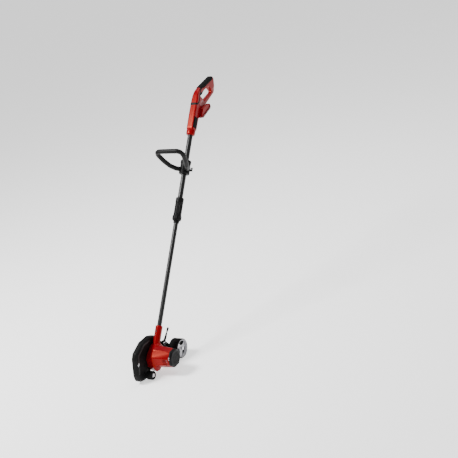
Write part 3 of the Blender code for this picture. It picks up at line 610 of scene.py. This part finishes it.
def half_shell(side, outline, opening):
    """Half of the handle, closed, from the seam plane out to its side at X = side * half width."""
    bm = bmesh.new()

    def wall(rim, way, rounding):
        """Rings from the seam to the flat side; way is 1 for the outer rim, -1 for the opening."""
        rings = [
            [(side * SEAM, *p) for p in inset(rim, way * SEAM_CHAMFER)],
            [(side * (SEAM + SEAM_CHAMFER), *p) for p in rim],
        ]
        for inwards, down in edge_profile(rounding, 6):
            spots = inset(rim, way * inwards) if inwards else rim
            rings.append([
                (side * (half_width(*base) - down), *spot) for base, spot in zip(rim, spots)
            ])
        return rings

    skins = [wall(outline, 1, OUTER_ROUNDING), wall(opening, -1, OPENING_ROUNDING)]
    for rings in skins:
        skin(bm, rings)
    for level in (0, -1):
        rims = [[tuple(spot[1:]) for spot in rings[level]] for rings in skins]
        spots, faces, sources = face_grid(rims, 0.005 if level else 0.02)
        heights = [spot[0] for rings in skins for spot in rings[level]]
        verts = []
        for spot, source in zip(spots, sources):
            if source < len(heights):
                x = heights[source]
            else:
                x = side * (half_width(*spot) if level else SEAM)
            verts.append(bm.verts.new((x, *spot)))
        for face in faces:
            bm.faces.new([verts[k] for k in face])
    bmesh.ops.remove_doubles(bm, verts=bm.verts, dist=0.00002)
    return bm


def make_shells():
    outline = divided(softened(HANDLE, 0.014, 7), 0.006)
    opening = divided(softened(OPENING, 0.006), 0.004)
    slot = on_grip(oblong(0.0045, 0.064, 0.014, 0.050))[::-1]
    made = []
    for name, side in (("left", 1), ("right", -1)):
        shell = tool_piece(f"{name}_handle_shell", half_shell(side, outline, opening), POLE)
        carve(shell, prism(slot, -0.0083, 0.0083), POLE)
        carve(shell, rod(TUBE_RADIUS + CLEARANCE, 1.05, 1.112, 64), POLE)
        for low, high, depth in ((1.1892, 1.1906, 0.0010), (1.2240, 1.2250, 0.0006)):
            carve(shell, box_mesh((-0.017, -0.04, low), (0.017, depth - 0.0195, high)), POLE)
        if side < 0:
            hole = rod(0.0066, -0.03, -0.012)
            hole.transform(across(*LOCK_OFF))
            carve(shell, hole, POLE)
        made.append(settled(shell, "red_plastic", "handle_unit", [f"handle_{name}_shell"], 40))
    return made


def make_collar():
    inner = TUBE_RADIUS + CLEARANCE
    profile = [
        (inner, 1.0850), (0.0178, 1.0850), (0.0186, 1.0853), (0.0203, 1.0872), (0.0213, 1.0900),
        (0.0220, 1.0945), (0.0222, 1.1000), (0.0220, 1.1052), (0.0216, 1.1090), (0.0209, 1.1120),
        (0.0203, 1.1136), (0.0203, 1.1150), (0.0209, 1.1158), (0.0209, 1.1172), (0.0200, 1.1190),
        (0.0185, 1.1196), (inner, 1.1196),
    ]
    finished("handle_collar", lathe(profile, 96, closed=True), "red_plastic", "handle_unit", POLE)


def make_battery_foot():
    outline = divided(softened(FOOT, 0.005, 6), 0.008)
    foot = slab(outline, FOOT_HALF_WIDTH, 0.0045, 5)
    finished("battery_foot", foot, "red_plastic", "handle_unit", POLE)


def make_soft_grip():
    """The ribbed grip over the handle's top, its ends rounded."""
    half, deep, corner = GRIP_HALF_WIDTH + 0.0018, 0.0155, 0.0062
    section = [(half, deep), (half, corner)]
    section += [
        (half - corner + corner * sin(a), corner - corner * cos(a))
        for a in [pi / 2 * k / 8 for k in range(8, -1, -1)]
    ][1:]
    section += [(x * corner, 0.0) for x in (0.9, 0.45)]
    section += [(0.0, 0.0), *[(-x, h) for x, h in section[::-1]]]
    rings = []
    first, last, count = 0.022, 0.150, 150
    for k in range(count + 1):
        g = first + (last - first) * k / count
        end = min(g - first, last - g)
        shrink = 0.0016 * (1 - smooth_step(end, 0.0, 0.0025))
        ripple = 0.00035 * max(0.0, cos(2 * pi * g / 0.005)) if 0.008 < end else 0.0
        low = deep - 0.006 * (1 - smooth_step(g, first, first + 0.03))
        ring = []
        for x, h in section:
            inwards = shrink + ripple * (h < deep - 0.004)
            length = hypot(x, deep - h) or 1.0
            at_h = min(h, low) if h > corner else h
            ring.append((x - inwards * x / length * 1.2, at_h + inwards * (deep - h) / length))
        rings.append([(x, *on_grip([(g, h)])[0]) for x, h in ring])
    finished("hand_grip", loft(rings), "black_rubber", "handle_unit", POLE, ["soft_grip"], 50)


def surface_strip(name, shells, guide, widths, finish, replaces=(), rounds=12, crown=0.0007):
    """A thin strip that lies on the shells along a guide; widths(spot) says how wide it is."""
    tree = BVHTree.FromPolygons(*joined_geometry(shells))
    lift = POLE.to_3x3()
    path = smoothed(guide, 0.0015, rounds)
    rings = []
    for k, spot in enumerate(path):
        run = path[min(k + 1, len(path) - 1)] - path[max(k - 1, 0)]
        place, normal, _, _ = tree.find_nearest(POLE @ spot)
        across = (lift @ run).cross(normal).normalized()
        width = widths(spot)
        over, under = [], []
        for j in range(17):
            t = -1 + j / 8
            there, facing, _, _ = tree.find_nearest(place + across * (t * width / 2))
            over.append(there + facing * (crown if abs(t) < 0.95 else 0.0001))
            under.append(there - facing * 0.0008)
        rings.append([tuple(p) for p in over + under[::-1]])
    return finished(name, loft(rings), finish, "handle_unit", Matrix(), replaces)


def make_trim(shells):
    """The black band round the barrel's front and up both sides to the grip."""
    half = [
        (0.015, 0.0085, 1.352), (0.016, 0.0070, 1.335), (0.018, 0.0050, 1.315),
        (0.019, 0.0035, 1.290), (0.019, 0.0020, 1.270), (0.019, -0.0010, 1.256),
        (0.019, -0.0060, 1.2475), (0.0185, -0.0120, 1.2440), (0.016, -0.018, 1.2435),
        (0.010, -0.0195, 1.2435),
    ]
    guide = half + [(0.0, -0.0195, 1.2435)] + [(-x, n, s) for x, n, s in half[::-1]]

    def widths(spot):
        side = smooth_step(abs(spot.x), 0.012, 0.019)
        high = smooth_step(spot.z, 1.315, 1.345)
        return 0.0125 - 0.0045 * side + 0.006 * high

    surface_strip("handle_trim", shells, guide, widths, "black_plastic")


def joined_geometry(objects):
    verts, faces = [], []
    for obj in objects:
        first = len(verts)
        verts += [v.co.copy() for v in obj.data.vertices]
        faces += [[first + k for k in p.vertices] for p in obj.data.polygons]
    return verts, faces


def make_label(shells):
    """The plain black panel on the barrel's side, which wraps its front edge."""
    panel = surface_strip(
        "side_panel", shells, [(0.019, -0.0035, 1.1225), (0.019, -0.0035, 1.1775)],
        lambda spot: 0.034, "gloss_black", ["label_plate"], 0, 0.0010,
    )
    rounded(panel, 0.0003, angle=50)


def make_trigger():
    outline = softened(on_grip([
        (0.058, 0.0165), (0.0665, 0.0165), (0.0665, 0.0245), (0.060, 0.0310), (0.045, 0.0335),
        (0.022, 0.0405), (0.009, 0.0400), (0.007, 0.0330), (0.0065, 0.0225), (0.012, 0.0205),
    ])[::-1], 0.0018)
    trigger = slab(outline, 0.0075, 0.0022, 4)
    finished("finger_trigger", trigger, "black_plastic", "trigger", POLE, ["trigger"])


shells = make_shells()
make_collar()
make_battery_foot()
make_soft_grip()
make_trim(shells)
make_label(shells)
make_trigger()

# ---- pole

SLEEVE = (0.652, 0.765)
CLAMP = (0.885, 0.955)
CLAMP_RADIUS = 0.026
BAR_RADIUS = 0.012
LOWER_TUBE_RADIUS = 0.011


def make_sleeve():
    low, high = SLEEVE

    def fluted(angle, height):
        held = plateau(height, low + 0.030, low + 0.036, high - 0.030, high - 0.024)
        collar = plateau(height, low + 0.006, low + 0.009, low + 0.019, low + 0.022)
        flute = max(0.0, cos(18 * angle)) ** 1.5
        notch = max(0.0, cos(12 * angle)) ** 0.5
        return 1 - 0.075 * held * (1 - flute) - 0.05 * collar * (1 - notch)

    outer = [
        (0.0170, high), (0.0184, high - 0.0005), (0.0193, high - 0.0015), (0.0195, high - 0.003),
        (0.0195, high - 0.010), (0.0188, high - 0.0108), (0.0188, high - 0.0122),
        (0.0195, high - 0.013), (0.0195, high - 0.022),
    ]
    outer += [(0.0190 + 0.0003 * k / 8, high - 0.026 - 0.0065 * k) for k in range(9)]
    outer += [
        (0.0200, low + 0.0255), (0.0218, low + 0.0215), (0.0222, low + 0.0195),
        (0.0222, low + 0.008),
        (0.0219, low + 0.0060), (0.0205, low + 0.0025), (0.0195, low + 0.0004), (0.0188, low),
    ]
    fine = [outer[0]]
    for (r0, h0), (r1, h1) in zip(outer, outer[1:]):
        count = max(1, round(abs(h1 - h0) / 0.002))
        fine += [
            (r0 + (r1 - r0) * (k + 1) / count, h0 + (h1 - h0) * (k + 1) / count)
            for k in range(count)
        ]
    bore = TUBE_RADIUS + CLEARANCE
    inner = [(0.0154, low), (0.0154, 0.701), (bore, 0.701), (bore, high)]
    bm = lathe(fine + inner, 288, fluted, closed=True)
    for vert in bm.verts:
        reach = hypot(vert.co.x, vert.co.y)
        if reach < 0.0165:
            wanted = 0.0154 if vert.co.z < 0.7015 and reach > 0.0134 else bore
            vert.co.x *= wanted / reach
            vert.co.y *= wanted / reach
    finished("twist_sleeve", bm, "black_plastic", "lock_sleeve", POLE, ["lock_sleeve"], 40)


AUX_ROUTE = [
    (0.019, -0.014, 0.908), (0.032, -0.030, 0.906), (0.047, -0.062, 0.909), (0.061, -0.102, 0.921),
    (0.0695, -0.138, 0.934), (0.066, -0.158, 0.940), (0.052, -0.166, 0.943), (0.026, -0.167, 0.943),
]


def swept(path, section, upright, taper):
    """Rings of a section, given across and up, along a path; taper(share) scales it."""
    rings = []
    for k, spot in enumerate(path):
        run = (path[min(k + 1, len(path) - 1)] - path[max(k - 1, 0)]).normalized()
        across = run.cross(upright).normalized()
        up = across.cross(run)
        scale = taper(k / (len(path) - 1))
        rings.append([tuple(spot + scale * (a * across + b * up)) for a, b in section])
    return rings


def make_loop():
    route = [(-x, n, s) for x, n, s in AUX_ROUTE] + AUX_ROUTE[::-1]
    path = smoothed(route, 0.0025, 4)
    radius = BAR_RADIUS - 0.0004
    section = [(radius * cos(a), radius * sin(a)) for a in [2 * pi * k / 40 for k in range(40)]]

    def ribs(share):
        gripped = plateau(share, 0.36, 0.38, 0.62, 0.64)
        seat = 1 - 0.10 * plateau(share, 0.33, 0.34, 0.345, 0.355)
        seat *= 1 - 0.10 * plateau(share, 0.645, 0.655, 0.66, 0.67)
        ripple = 0.05 * gripped * max(0.0, cos(2 * pi * share * 72)) ** 2
        return (0.97 + 0.03 * gripped) * seat * (1 - ripple)

    loop = loft(swept(path, section, Vector((0, 0, 1)), ribs))
    finished("loop_handle", loop, "black_plastic", "aux_handle", POLE, ["aux_handle"], 60)


def clamp_profile():
    low, high = CLAMP
    radius = CLAMP_RADIUS
    return [
        (radius - 0.0040, high), (radius - 0.0022, high - 0.0006), (radius - 0.0008, high - 0.002),
        (radius, high - 0.0045), (radius, high - 0.016), (radius - 0.0016, high - 0.018),
        (radius - 0.0016, low + 0.018), (radius, low + 0.016), (radius, low + 0.0045),
        (radius - 0.0008, low + 0.002), (radius - 0.0022, low + 0.0006), (radius - 0.0040, low),
    ]


def make_clamp():
    low, high = CLAMP
    inner = TUBE_RADIUS + CLEARANCE
    for name, side in (("clamp_front", -1), ("clamp_rear", 1)):
        profile = clamp_profile() + [(inner, low), (inner, high)]
        half = tool_piece(name, lathe(profile, closed=True), POLE)
        near, far = sorted((-side * 0.05, side * 0.0006))
        carve(half, box_mesh((-0.1, near, low - 0.1), (0.1, far, high + 0.1)), POLE)
        replaced = ["aux_clamp"] if side > 0 else ()
        settled(half, "black_plastic", "aux_handle", replaced)


CLAMP_LEVER = [
    (0.0250, 0.0285), (0.0250, 0.0345), (0.0180, 0.0375), (0.0000, 0.0390), (-0.0170, 0.0370),
    (-0.0260, 0.0300), (-0.0300, 0.0180), (-0.0275, 0.0170), (-0.0225, 0.0280),
    (-0.0140, 0.0325), (0.0000, 0.0345), (0.0110, 0.0330), (0.0135, 0.0270),
]


def make_clamp_lever():
    lever = slab(softened(CLAMP_LEVER, 0.006, 6), 0.0085, 0.0012, 3)
    level = Matrix(((0, 1, 0, 0), (0, 0, 1, 0), (1, 0, 0, sum(CLAMP) / 2), (0, 0, 0, 1)))
    finished("quick_lever", lever, "black_plastic", "clamp_lever", POLE @ level, ["clamp_lever"])


make_sleeve()
make_loop()
make_clamp()
make_clamp_lever()

# ---- head

BARREL = (0.018, 0.103)
BARREL_RADII = (0.052, 0.0445)
CAP_END, CAP_END_RADIUS = 0.117, 0.040
GEAR_CASE = (-0.0168, 0.028)
RIDGE = 0.0175
STEM_RADIUS, STEM_TOP = 0.017, 0.142
HOUSING_WALL = 0.0025
SLOT_PITCH = 0.0072

GEAR_CASE_SIDE = [
    (-0.029, 0.094), (-0.030, 0.052), (-0.014, 0.021), (0.004, 0.0155), (0.030, 0.026),
    (0.066, 0.052), (0.077, 0.082), (0.073, 0.112), (0.058, 0.136), (0.034, 0.136),
    (-0.006, 0.116),
]


def eight_sided(profile, blend=0.0):
    """An eight-sided turned piece about the motor's axis, its corners rounded by blend."""
    corner = pi / 4
    rings = []
    for radius, height in profile:
        ring = []
        for k in range(8):
            at = (k + 0.5) * corner
            apex = Vector((radius * cos(at), radius * sin(at)))
            side = Vector((-sin(at), cos(at)))
            for t in (-1.0, -0.5, 0.0, 0.5, 1.0):
                pull = blend * radius
                ring.append(tuple(
                    apex + side * t * pull * cos(pi / 8)
                    - apex.normalized() * pull * (0.30 * t ** 2 + 0.10)
                ))
        rings.append([(*spot, height) for spot in ring])
    return loft(rings)


def barrel_radius(x):
    slope = (BARREL_RADII[1] - BARREL_RADII[0]) / (BARREL[1] - BARREL[0])
    return BARREL_RADII[0] + slope * (x - BARREL[0])


def gear_case():
    """The gear case, with a ridge down its front between the guard and the motor."""
    outline = divided(softened(GEAR_CASE_SIDE, 0.004, 5), 0.006)
    levels = [
        (GEAR_CASE[0], 0.0065), (GEAR_CASE[0] + 0.0006, 0.0055), (GEAR_CASE[0] + 0.0020, 0.0046),
        (RIDGE - 0.0014, 0.0010), (RIDGE - 0.0006, 0.0001), (RIDGE + 0.0006, 0.0001),
        (RIDGE + 0.0014, 0.0010), (GEAR_CASE[1] - 0.0022, 0.0040), (GEAR_CASE[1] - 0.0006, 0.0058),
        (GEAR_CASE[1], 0.0075),
    ]
    return layered(outline, levels)


def stem():
    steps = []
    for s in (0.098, 0.104, 0.124, 0.130):
        steps += [(s, 0.0), (s, 0.0006), (s + 0.0012, 0.0006), (s + 0.0012, 0.0)]
    profile = [(0.0, 0.020), (STEM_RADIUS, 0.020)]
    profile += [(STEM_RADIUS - depth, s) for s, depth in steps]
    profile += [
        (STEM_RADIUS, STEM_TOP - 0.0025), (STEM_RADIUS - 0.0004, STEM_TOP - 0.0010),
        (STEM_RADIUS - 0.0012, STEM_TOP - 0.0002), (STEM_RADIUS - 0.0022, STEM_TOP),
        (0.0, STEM_TOP),
    ]
    return lathe(profile)


def stem_spine():
    """A raised rib down the stem's front that runs into the ridge of the gear case."""
    section = [(-0.0050, 0.0), (-0.0036, -0.0006), (0.0, -0.0009), (0.0036, -0.0006), (0.0050, 0.0),
               (0.0, 0.006)]
    rings = []
    for s, front in ((0.030, -0.0158), (0.090, -0.0164), (0.0945, -0.0164), (0.0955, -0.0155)):
        rings.append([(x, front + n, s) for x, n in section])
    return loft(rings)


def make_housing():
    start, end = BARREL
    solid = tool_piece("housing", eight_sided([
        (barrel_radius(start), start), (barrel_radius(end - 0.0012), end - 0.0012),
        (barrel_radius(end) - 0.0008, end),
    ], 0.10), at=MOTOR_YZ)
    carve(solid, gear_case(), TOOL, "UNION")
    carve(solid, stem(), POLE, "UNION")
    carve(solid, stem_spine(), POLE, "UNION")
    wall = HOUSING_WALL + 0.0006
    carve(solid, eight_sided([
        (barrel_radius(start) - wall, start), (barrel_radius(end) - wall, end + 0.01),
    ]), at=MOTOR_YZ)
    gear_space = inset(GEAR_CASE_SIDE, 0.0075)
    carve(solid, prism(gear_space, GEAR_CASE[0] + HOUSING_WALL, GEAR_CASE[1] - HOUSING_WALL))
    carve(solid, rod(LOWER_TUBE_RADIUS + CLEARANCE, 0.02, STEM_TOP + 0.01), POLE)
    carve(solid, rod(0.0134, -0.03, -0.006), at=SPINDLE_YZ)
    for vent in vents():
        carve(solid, vent, at=MOTOR_YZ)
    return solid


def on_facet(angle, reach, points):
    """Points given along the motor's axis and across it, at a reach from the axis."""
    return [
        (reach * cos(angle) - b * sin(angle), reach * sin(angle) + b * cos(angle), x)
        for x, b in points
    ]


def vents():
    """Slots through the barrel's lower front and rear flats, and its underside."""
    made = []
    for facet in (-3, -1, 4):
        for k in range(4):
            at = (k - 1.5) * SLOT_PITCH
            slot = softened(oblong(0.070, 0.097, at - 0.0016, at + 0.0016), 0.0015, 4)
            made.append(loft([on_facet(facet * pi / 4, reach, slot) for reach in (0.034, 0.056)]))
    return made


def make_housing_halves():
    whole = make_housing()
    for name, side in (("housing_front", -1), ("housing_rear", 1)):
        half = bpy.data.objects.new(f"{name}_shell", whole.data.copy())
        linked(half)
        near, far = sorted((-side * 0.2, side * SEAM))
        carve(half, box_mesh((-0.2, near, -0.2), (0.2, far, 0.4)))
        settled(half, "red_plastic", "head", [name], 30)
    bpy.data.objects.remove(whole)


def make_cap():
    start = BARREL[1] + 0.0003
    radius = BARREL_RADII[1]
    outer = [
        (radius - 0.0006, start), (radius, start + 0.0008), (radius, 0.1085),
        (radius - 0.0010, 0.1100), (CAP_END_RADIUS + 0.0012, CAP_END - 0.0020),
        (CAP_END_RADIUS, CAP_END - 0.0004), (CAP_END_RADIUS - 0.0012, CAP_END),
        (CAP_END_RADIUS - 0.0060, CAP_END), (CAP_END_RADIUS - 0.0068, CAP_END - 0.0010),
    ]
    cap = tool_piece("motor_cap", eight_sided(outer, 0.10), at=MOTOR_YZ)
    inner = [(0.0405, start - 0.01), (0.0405, 0.1085), (0.0365, CAP_END - 0.0034)]
    carve(cap, eight_sided(inner, 0.1), at=MOTOR_YZ)
    for k in range(-3, 4):
        at = k * SLOT_PITCH
        half = sqrt(0.0285 ** 2 - at ** 2)
        slot = softened(oblong(at - 0.0014, at + 0.0014, -half, half), 0.0013, 4)
        levels = (CAP_END - 0.0024, CAP_END + 0.002)
        carve(cap, loft([[(b, a, x) for a, b in slot] for x in levels]), at=MOTOR_YZ)
    settled(cap, "black_plastic", "head", ["motor_cap"])
    # A grey patch at the cap's front corner: painted highlight where the barrel's lit facet carries on onto the
    # cap.
    highlight_patch = softened([(-0.0040, -0.0062), (0.0040, -0.0062), (0.0032, 0.0062), (-0.0032, 0.0062)],
                    0.0014, 4)
    rings = [
        on_facet(radians(157.5), reach, [(0.1062 + a * scale * 0.7, b * scale) for a, b in highlight_patch])
        for reach, scale in ((0.0407, 1.0), (0.0431, 1.0), (0.0439, 0.86))
    ]
    finished("cap_highlight_patch", loft(rings), "grey_plastic", "head", axis_at(*MOTOR_YZ))


def set_screw(name, radius, height, matrix, body, replaces=()):
    """A domed screw head with a cross recess, its top towards Z."""
    profile = [(0.0, 0.0), (radius, 0.0), (radius, height * 0.4), (radius * 0.9, height * 0.75),
               (radius * 0.6, height), (0.0, height)]
    screw = tool_piece(name, lathe(profile, 32), Matrix())
    for long, wide in ((radius * 1.2, radius * 0.3), (radius * 0.3, radius * 1.2)):
        low = (-long / 2, -wide / 2, height * 0.35)
        carve(screw, box_mesh(low, (long / 2, wide / 2, height * 2)), Matrix())
    screw.data.transform(matrix)
    settled(screw, "blackened_steel", body, replaces)


def make_screws():
    forward = Matrix(((1, 0, 0, 0), (0, 0, -1, 0), (0, 1, 0, 0), (0, 0, 0, 1)))
    for k, (s, replaced) in enumerate([(0.1110, ["stem_screw"]), (0.1172, [])]):
        spot = POLE @ Matrix.Translation((0.0, -STEM_RADIUS + 0.0004, s)) @ forward
        set_screw(f"stem_screw_{k + 1}", 0.0026, 0.0016, spot, "head", replaced)
    outward = Matrix(((0, 0, -1, 0), (1, 0, 0, 0), (0, -1, 0, 0), (0, 0, 0, 1)))
    for k, s in enumerate((1.150, 1.215)):
        spot = POLE @ Matrix.Translation((-BARREL_HALF_WIDTH + 0.0004, 0.002, s)) @ outward
        set_screw(f"shell_screw_{k + 1}", 0.0030, 0.0010, spot, "handle_unit",
                  [f"handle_screw_{k + 1}"])

# ---- guard

GUARD = (-0.0440, -0.0175)
GUARD_WALL = 0.0025
GUARD_SIDE = [
    (-0.060, 0.0005), (-0.022, 0.0010), (0.110, 0.134), (0.088, 0.153), (0.052, 0.1685),
    (-0.013, 0.1718), (-0.076, 0.149), (-0.092, 0.127), (-0.110, 0.050), (-0.106, 0.024),
    (-0.092, 0.010),
]
GUARD_MOUTH = [(-0.060, -0.030), (0.010, -0.030), (0.150, 0.134), (0.110, 0.160)]
AXLE_RADIUS = 0.004


def make_guard():
    low, high = GUARD
    outline = divided(softened(GUARD_SIDE, 0.004, 6), 0.008)
    inner_outline = divided(softened(GUARD_SIDE, 0.001, 3), 0.008)
    levels = [(low, 0.0008), (low + 0.0008, 0.0), (high - 0.0085, 0.0), (high - 0.0070, 0.0006),
              (high - 0.0015, 0.0052), (high, 0.0075)]
    skins = [[(x, *p) for p in inset(outline, away)] for x, away in levels]
    guard = tool_piece("guard", loft(skins))
    carve(guard, layered(inner_outline, [
        (low - 0.01, GUARD_WALL), (high - 0.0085, GUARD_WALL), (high - 0.0040, 0.0062),
        (high - GUARD_WALL, 0.0095),
    ]))
    carve(guard, prism(anticlockwise(GUARD_MOUTH), low - 0.01, high - 0.0070))
    for at, radius in ((SPINDLE_YZ, 0.0165), (FRONT_HUB.yz, AXLE_RADIUS + CLEARANCE)):
        carve(guard, rod(radius, low, high + 0.01), at=at)
    settled(guard, "black_plastic", "head", ["blade_guard"], 32)


def anticlockwise(outline):
    sides = zip(outline, outline[1:] + outline[:1])
    area = sum(y0 * z1 - y1 * z0 for (y0, z0), (y1, z1) in sides)
    return outline if area > 0 else outline[::-1]


def make_guard_details():
    """The raised ribs at the front and along the top, whose lighter grey is painted highlight on the guard's up-
    and forward-facing rim, and the marks for the cut line.
    """
    high = GUARD[1]
    band = [(-0.079, 0.118), (-0.0995, 0.052), (-0.0915, 0.050), (-0.0715, 0.114),
            (-0.0640, 0.1330), (-0.0705, 0.1400)]
    top = [(-0.0700, 0.1380), (-0.0640, 0.1310), (-0.0120, 0.1535), (0.0340, 0.1500),
           (0.0360, 0.1570), (-0.0130, 0.1622)]
    for name, outline in (("guard_front_highlight_rib", band), ("guard_top_highlight_rib", top)):
        rib = layered(softened(anticlockwise(outline), 0.003), [
            (high - 0.0010, 0.0), (high + 0.00036, 0.0), (high + 0.000495, 0.0004),
        ])
        # The ribs' lighter grey paints the highlight on the guard's up-facing rim.
        finished(name, rib, "painted_highlight_plastic", "head")
    for k, (y, z) in enumerate([(-0.0890, 0.0950), (-0.0820, 0.0985)]):
        outline = [(y - 0.0022, z - 0.0052), (y + 0.0022, z - 0.0044), (y + 0.0030, z + 0.0052),
                   (y - 0.0014, z + 0.0044)]
        mark = layered(softened(outline, 0.0008, 4), [
            (high - 0.0012, 0.0), (high + 0.0005, 0.0), (high + 0.0006, 0.0002),
        ])
        finished(f"cut_line_mark_{k + 1}", mark, "pale_plastic", "head")

# ---- wheels and blade

def make_front_wheel():
    low, high, radius = -0.0096, 0.0209, 0.021
    bore = AXLE_RADIUS + CLEARANCE

    def tread(angle, height):
        worn = plateau(height, low + 0.004, low + 0.006, high - 0.006, high - 0.004)
        return 1 - 0.028 * worn * (0.5 - 0.5 * cos(20 * angle)) ** 4

    fine = [(radius, high - 0.004 - (high - low - 0.008) * k / 20) for k in range(21)]
    profile = [
        (bore, high - 0.0060), (0.0110, high - 0.0060), (0.0120, high - 0.0030),
        (0.0130, high - 0.0006), (0.0140, high), (radius - 0.0035, high),
        (radius - 0.0018, high - 0.0006), (radius - 0.0006, high - 0.0019), *fine,
        (radius - 0.0006, low + 0.0019), (radius - 0.0018, low + 0.0006), (radius - 0.0035, low),
        (bore, low),
    ]
    bm = lathe(profile, 160, tread, closed=True)
    spin = axis_at(*FRONT_HUB.yz)
    finished("front_roller", bm, "black_rubber", "front_wheel", spin, ["front_wheel"], 40)
    hub = lathe([
        (bore, high - 0.0052), (0.0062, high - 0.0052), (0.0072, high - 0.0040),
        (0.0100, high - 0.0044), (0.0108, high - 0.0056), (0.0106, high - 0.0066),
        (bore, high - 0.0066),
    ], 64, closed=True)
    finished("front_hub_ring", hub, "grey_plastic", "front_wheel", spin)


def make_rear_wheel():
    low, high, radius = 0.014, 0.064, 0.0465
    rim = radius - 0.0045

    def tread(angle, height):
        worn = plateau(height, low + 0.005, low + 0.008, high - 0.008, high - 0.005)
        shift = 0.22 if height > (low + high) / 2 else 0.0
        return 1 - 0.022 * worn * (0.5 - 0.5 * cos(28 * angle + 2 * pi * shift)) ** 4

    fine = [(radius, high - 0.004 - (high - low - 0.008) * k / 26) for k in range(27)]
    profile = [
        (rim, high - 0.0004), (rim + 0.0006, high), (radius - 0.0030, high),
        (radius - 0.0016, high - 0.0006), (radius - 0.0005, high - 0.0020), *fine,
        (radius - 0.0005, low + 0.0020), (radius - 0.0016, low + 0.0006), (radius - 0.0030, low),
        (rim, low),
    ]
    bm = lathe(profile, 224, tread, closed=True)
    spin = axis_at(*REAR_HUB.yz)
    finished("rear_tread", bm, "black_rubber", "rear_wheel", spin, ["rear_tyre"], 40)
    make_rim(low, high, rim - CLEARANCE)


def make_rim(low, high, edge):
    """The rim with its three windows, and a black disc just behind them that paints the shade seen through them.
    """
    bore = AXLE_RADIUS + CLEARANCE
    face = high - 0.0010
    profile = [
        (edge, face - 0.0006), (edge, low + 0.001), (edge - 0.0026, low + 0.001),
        (edge - 0.0026, face - 0.0120), (0.0095, face - 0.0105), (0.0095, low + 0.002),
        (bore, low + 0.002), (bore, face - 0.0006), (0.0080, face - 0.0006),
        (0.0090, face - 0.0020),
        (0.0105, face - 0.0056), (edge - 0.0052, face - 0.0076), (edge - 0.0034, face - 0.0040),
        (edge - 0.0030, face - 0.0008), (edge - 0.0022, face), (edge - 0.0006, face),
    ]
    hub = REAR_HUB.yz
    wheel = tool_piece("rim", lathe(profile, 120, closed=True), at=hub)
    for k in range(3):
        start = 2 * pi * k / 3 + radians(25)
        outer = arc((0, 0), edge - 0.0056, start, start + radians(84), 20)
        inner = arc((0, 0), 0.0150, start + radians(68), start + radians(16), 8)
        window = softened(outer + inner, 0.0025, 4)
        levels = (face - 0.020, face + 0.004)
        carve(wheel, loft([[(*p, x) for p in window] for x in levels]), at=hub)
    settled(wheel, "grey_plastic", "rear_wheel", ["rear_rim"], 35)
    # A black disc behind the windows: painted shade, so that they read dark.
    shade_disc = lathe([
        (bore + 0.006, face - 0.0130), (edge - 0.0028, face - 0.0130), (edge - 0.0028, low + 0.002),
        (edge - 0.0040, low + 0.002), (edge - 0.0040, face - 0.0145), (bore + 0.006, face - 0.0145),
    ], closed=True)
    finished("rim_shade_disc", shade_disc, "black_plastic", "rear_wheel", axis_at(*hub))
    rounded(wheel, 0.0004, angle=40)
    applied(wheel)


def make_blade():
    """The flat blade with sharpened long edges and worn ends."""
    half, wide = 0.089, 0.016
    outline = [
        (-half, -wide * 0.2), (-half * 0.72, -wide), (half * 0.96, -wide), (half, -wide * 0.3),
        (half, wide * 0.2), (half * 0.72, wide), (-half * 0.96, wide), (-half, wide * 0.3),
    ]
    turn = radians(30)
    placed = [(a * cos(turn) - b * sin(turn) + SPINDLE_YZ[0],
               a * sin(turn) + b * cos(turn) + SPINDLE_YZ[1]) for a, b in outline]
    low, high = -0.0285, -0.0260
    blade = tool_piece("edging_blade", layered(placed, [
        (low, 0.0035), (low + 0.0016, 0.0), (high - 0.0003, 0.0), (high, 0.0004),
    ]))
    for y, z, radius in ((0, 0, 0.0063), (0.022, 0.0, 0.0030), (-0.022, 0.0, 0.0030)):
        at = (y * cos(turn) - z * sin(turn) + SPINDLE_YZ[0],
              y * sin(turn) + z * cos(turn) + SPINDLE_YZ[1])
        carve(blade, rod(radius, low - 0.01, high + 0.01, 40), at=at)
    settled(blade, "steel", "blade_unit", ["blade"], 20)


def make_carrier():
    """The arm that holds the rear wheel, and the lever's grip."""
    pivot, axle = PIVOT.yz, REAR_HUB.yz
    down = atan2(axle[1] - pivot[1], axle[0] - pivot[0])
    up = radians(40)
    lever_end = (pivot[0] + 0.048 * cos(up), pivot[1] + 0.048 * sin(up))
    outline = (
        arc(pivot, 0.0150, up + radians(35), down + radians(290), 20)
        + arc(axle, 0.0105, down - radians(95), down + radians(95), 16)
        + arc(pivot, 0.0150, down + radians(55), up - radians(25), 8)
        + arc(lever_end, 0.0040, up - radians(90), up + radians(90), 8)
    )
    low, high = -0.0030, 0.0025
    arm = tool_piece("arm", layered(outline, [
        (low, 0.0004), (low + 0.0004, 0.0), (high - 0.0004, 0.0), (high, 0.0004),
    ]))
    for at in (pivot, axle):
        carve(arm, rod(AXLE_RADIUS + CLEARANCE, low - 0.01, high + 0.01, 40), at=at)
    settled(arm, "black_plastic", "wheel_carrier", ["wheel_carrier"], 32)
    ridge = (-sin(up), cos(up))
    start, end = 0.0526, 0.0800
    rings = []
    for k in range(49):
        share = k / 48
        reach = start + 0.0005 + (end - start - 0.0006) * share
        size = 0.0034 + 0.0018 * smooth_step(share, 0.05, 0.75)
        size *= 1 - 0.62 * smooth_step(share, 0.93, 1.0)
        size *= 1 - 0.10 * (0.5 + 0.5 * cos(2 * pi * share * 9)) * (0.1 < share < 0.9)
        centre = (pivot[0] + reach * cos(up), pivot[1] + reach * sin(up))
        middle = (low + high) / 2
        rings.append([
            (middle + size * cos(a), centre[0] + size * sin(a) * ridge[0],
             centre[1] + size * sin(a) * ridge[1])
            for a in [2 * pi * j / 32 for j in range(32)]
        ])
    finished("lever_grip", loft(rings), "black_rubber", "wheel_carrier", TOOL, ["lever_knob"], 50)


make_housing_halves()
make_cap()
make_screws()
make_guard()
make_guard_details()
make_front_wheel()
make_rear_wheel()
make_blade()
make_carrier()
for part in frame["record"]["subparts"]:
    node = NODES[part["node"]]
    if not node.hide_render:
        rounded(node, 0.0003)
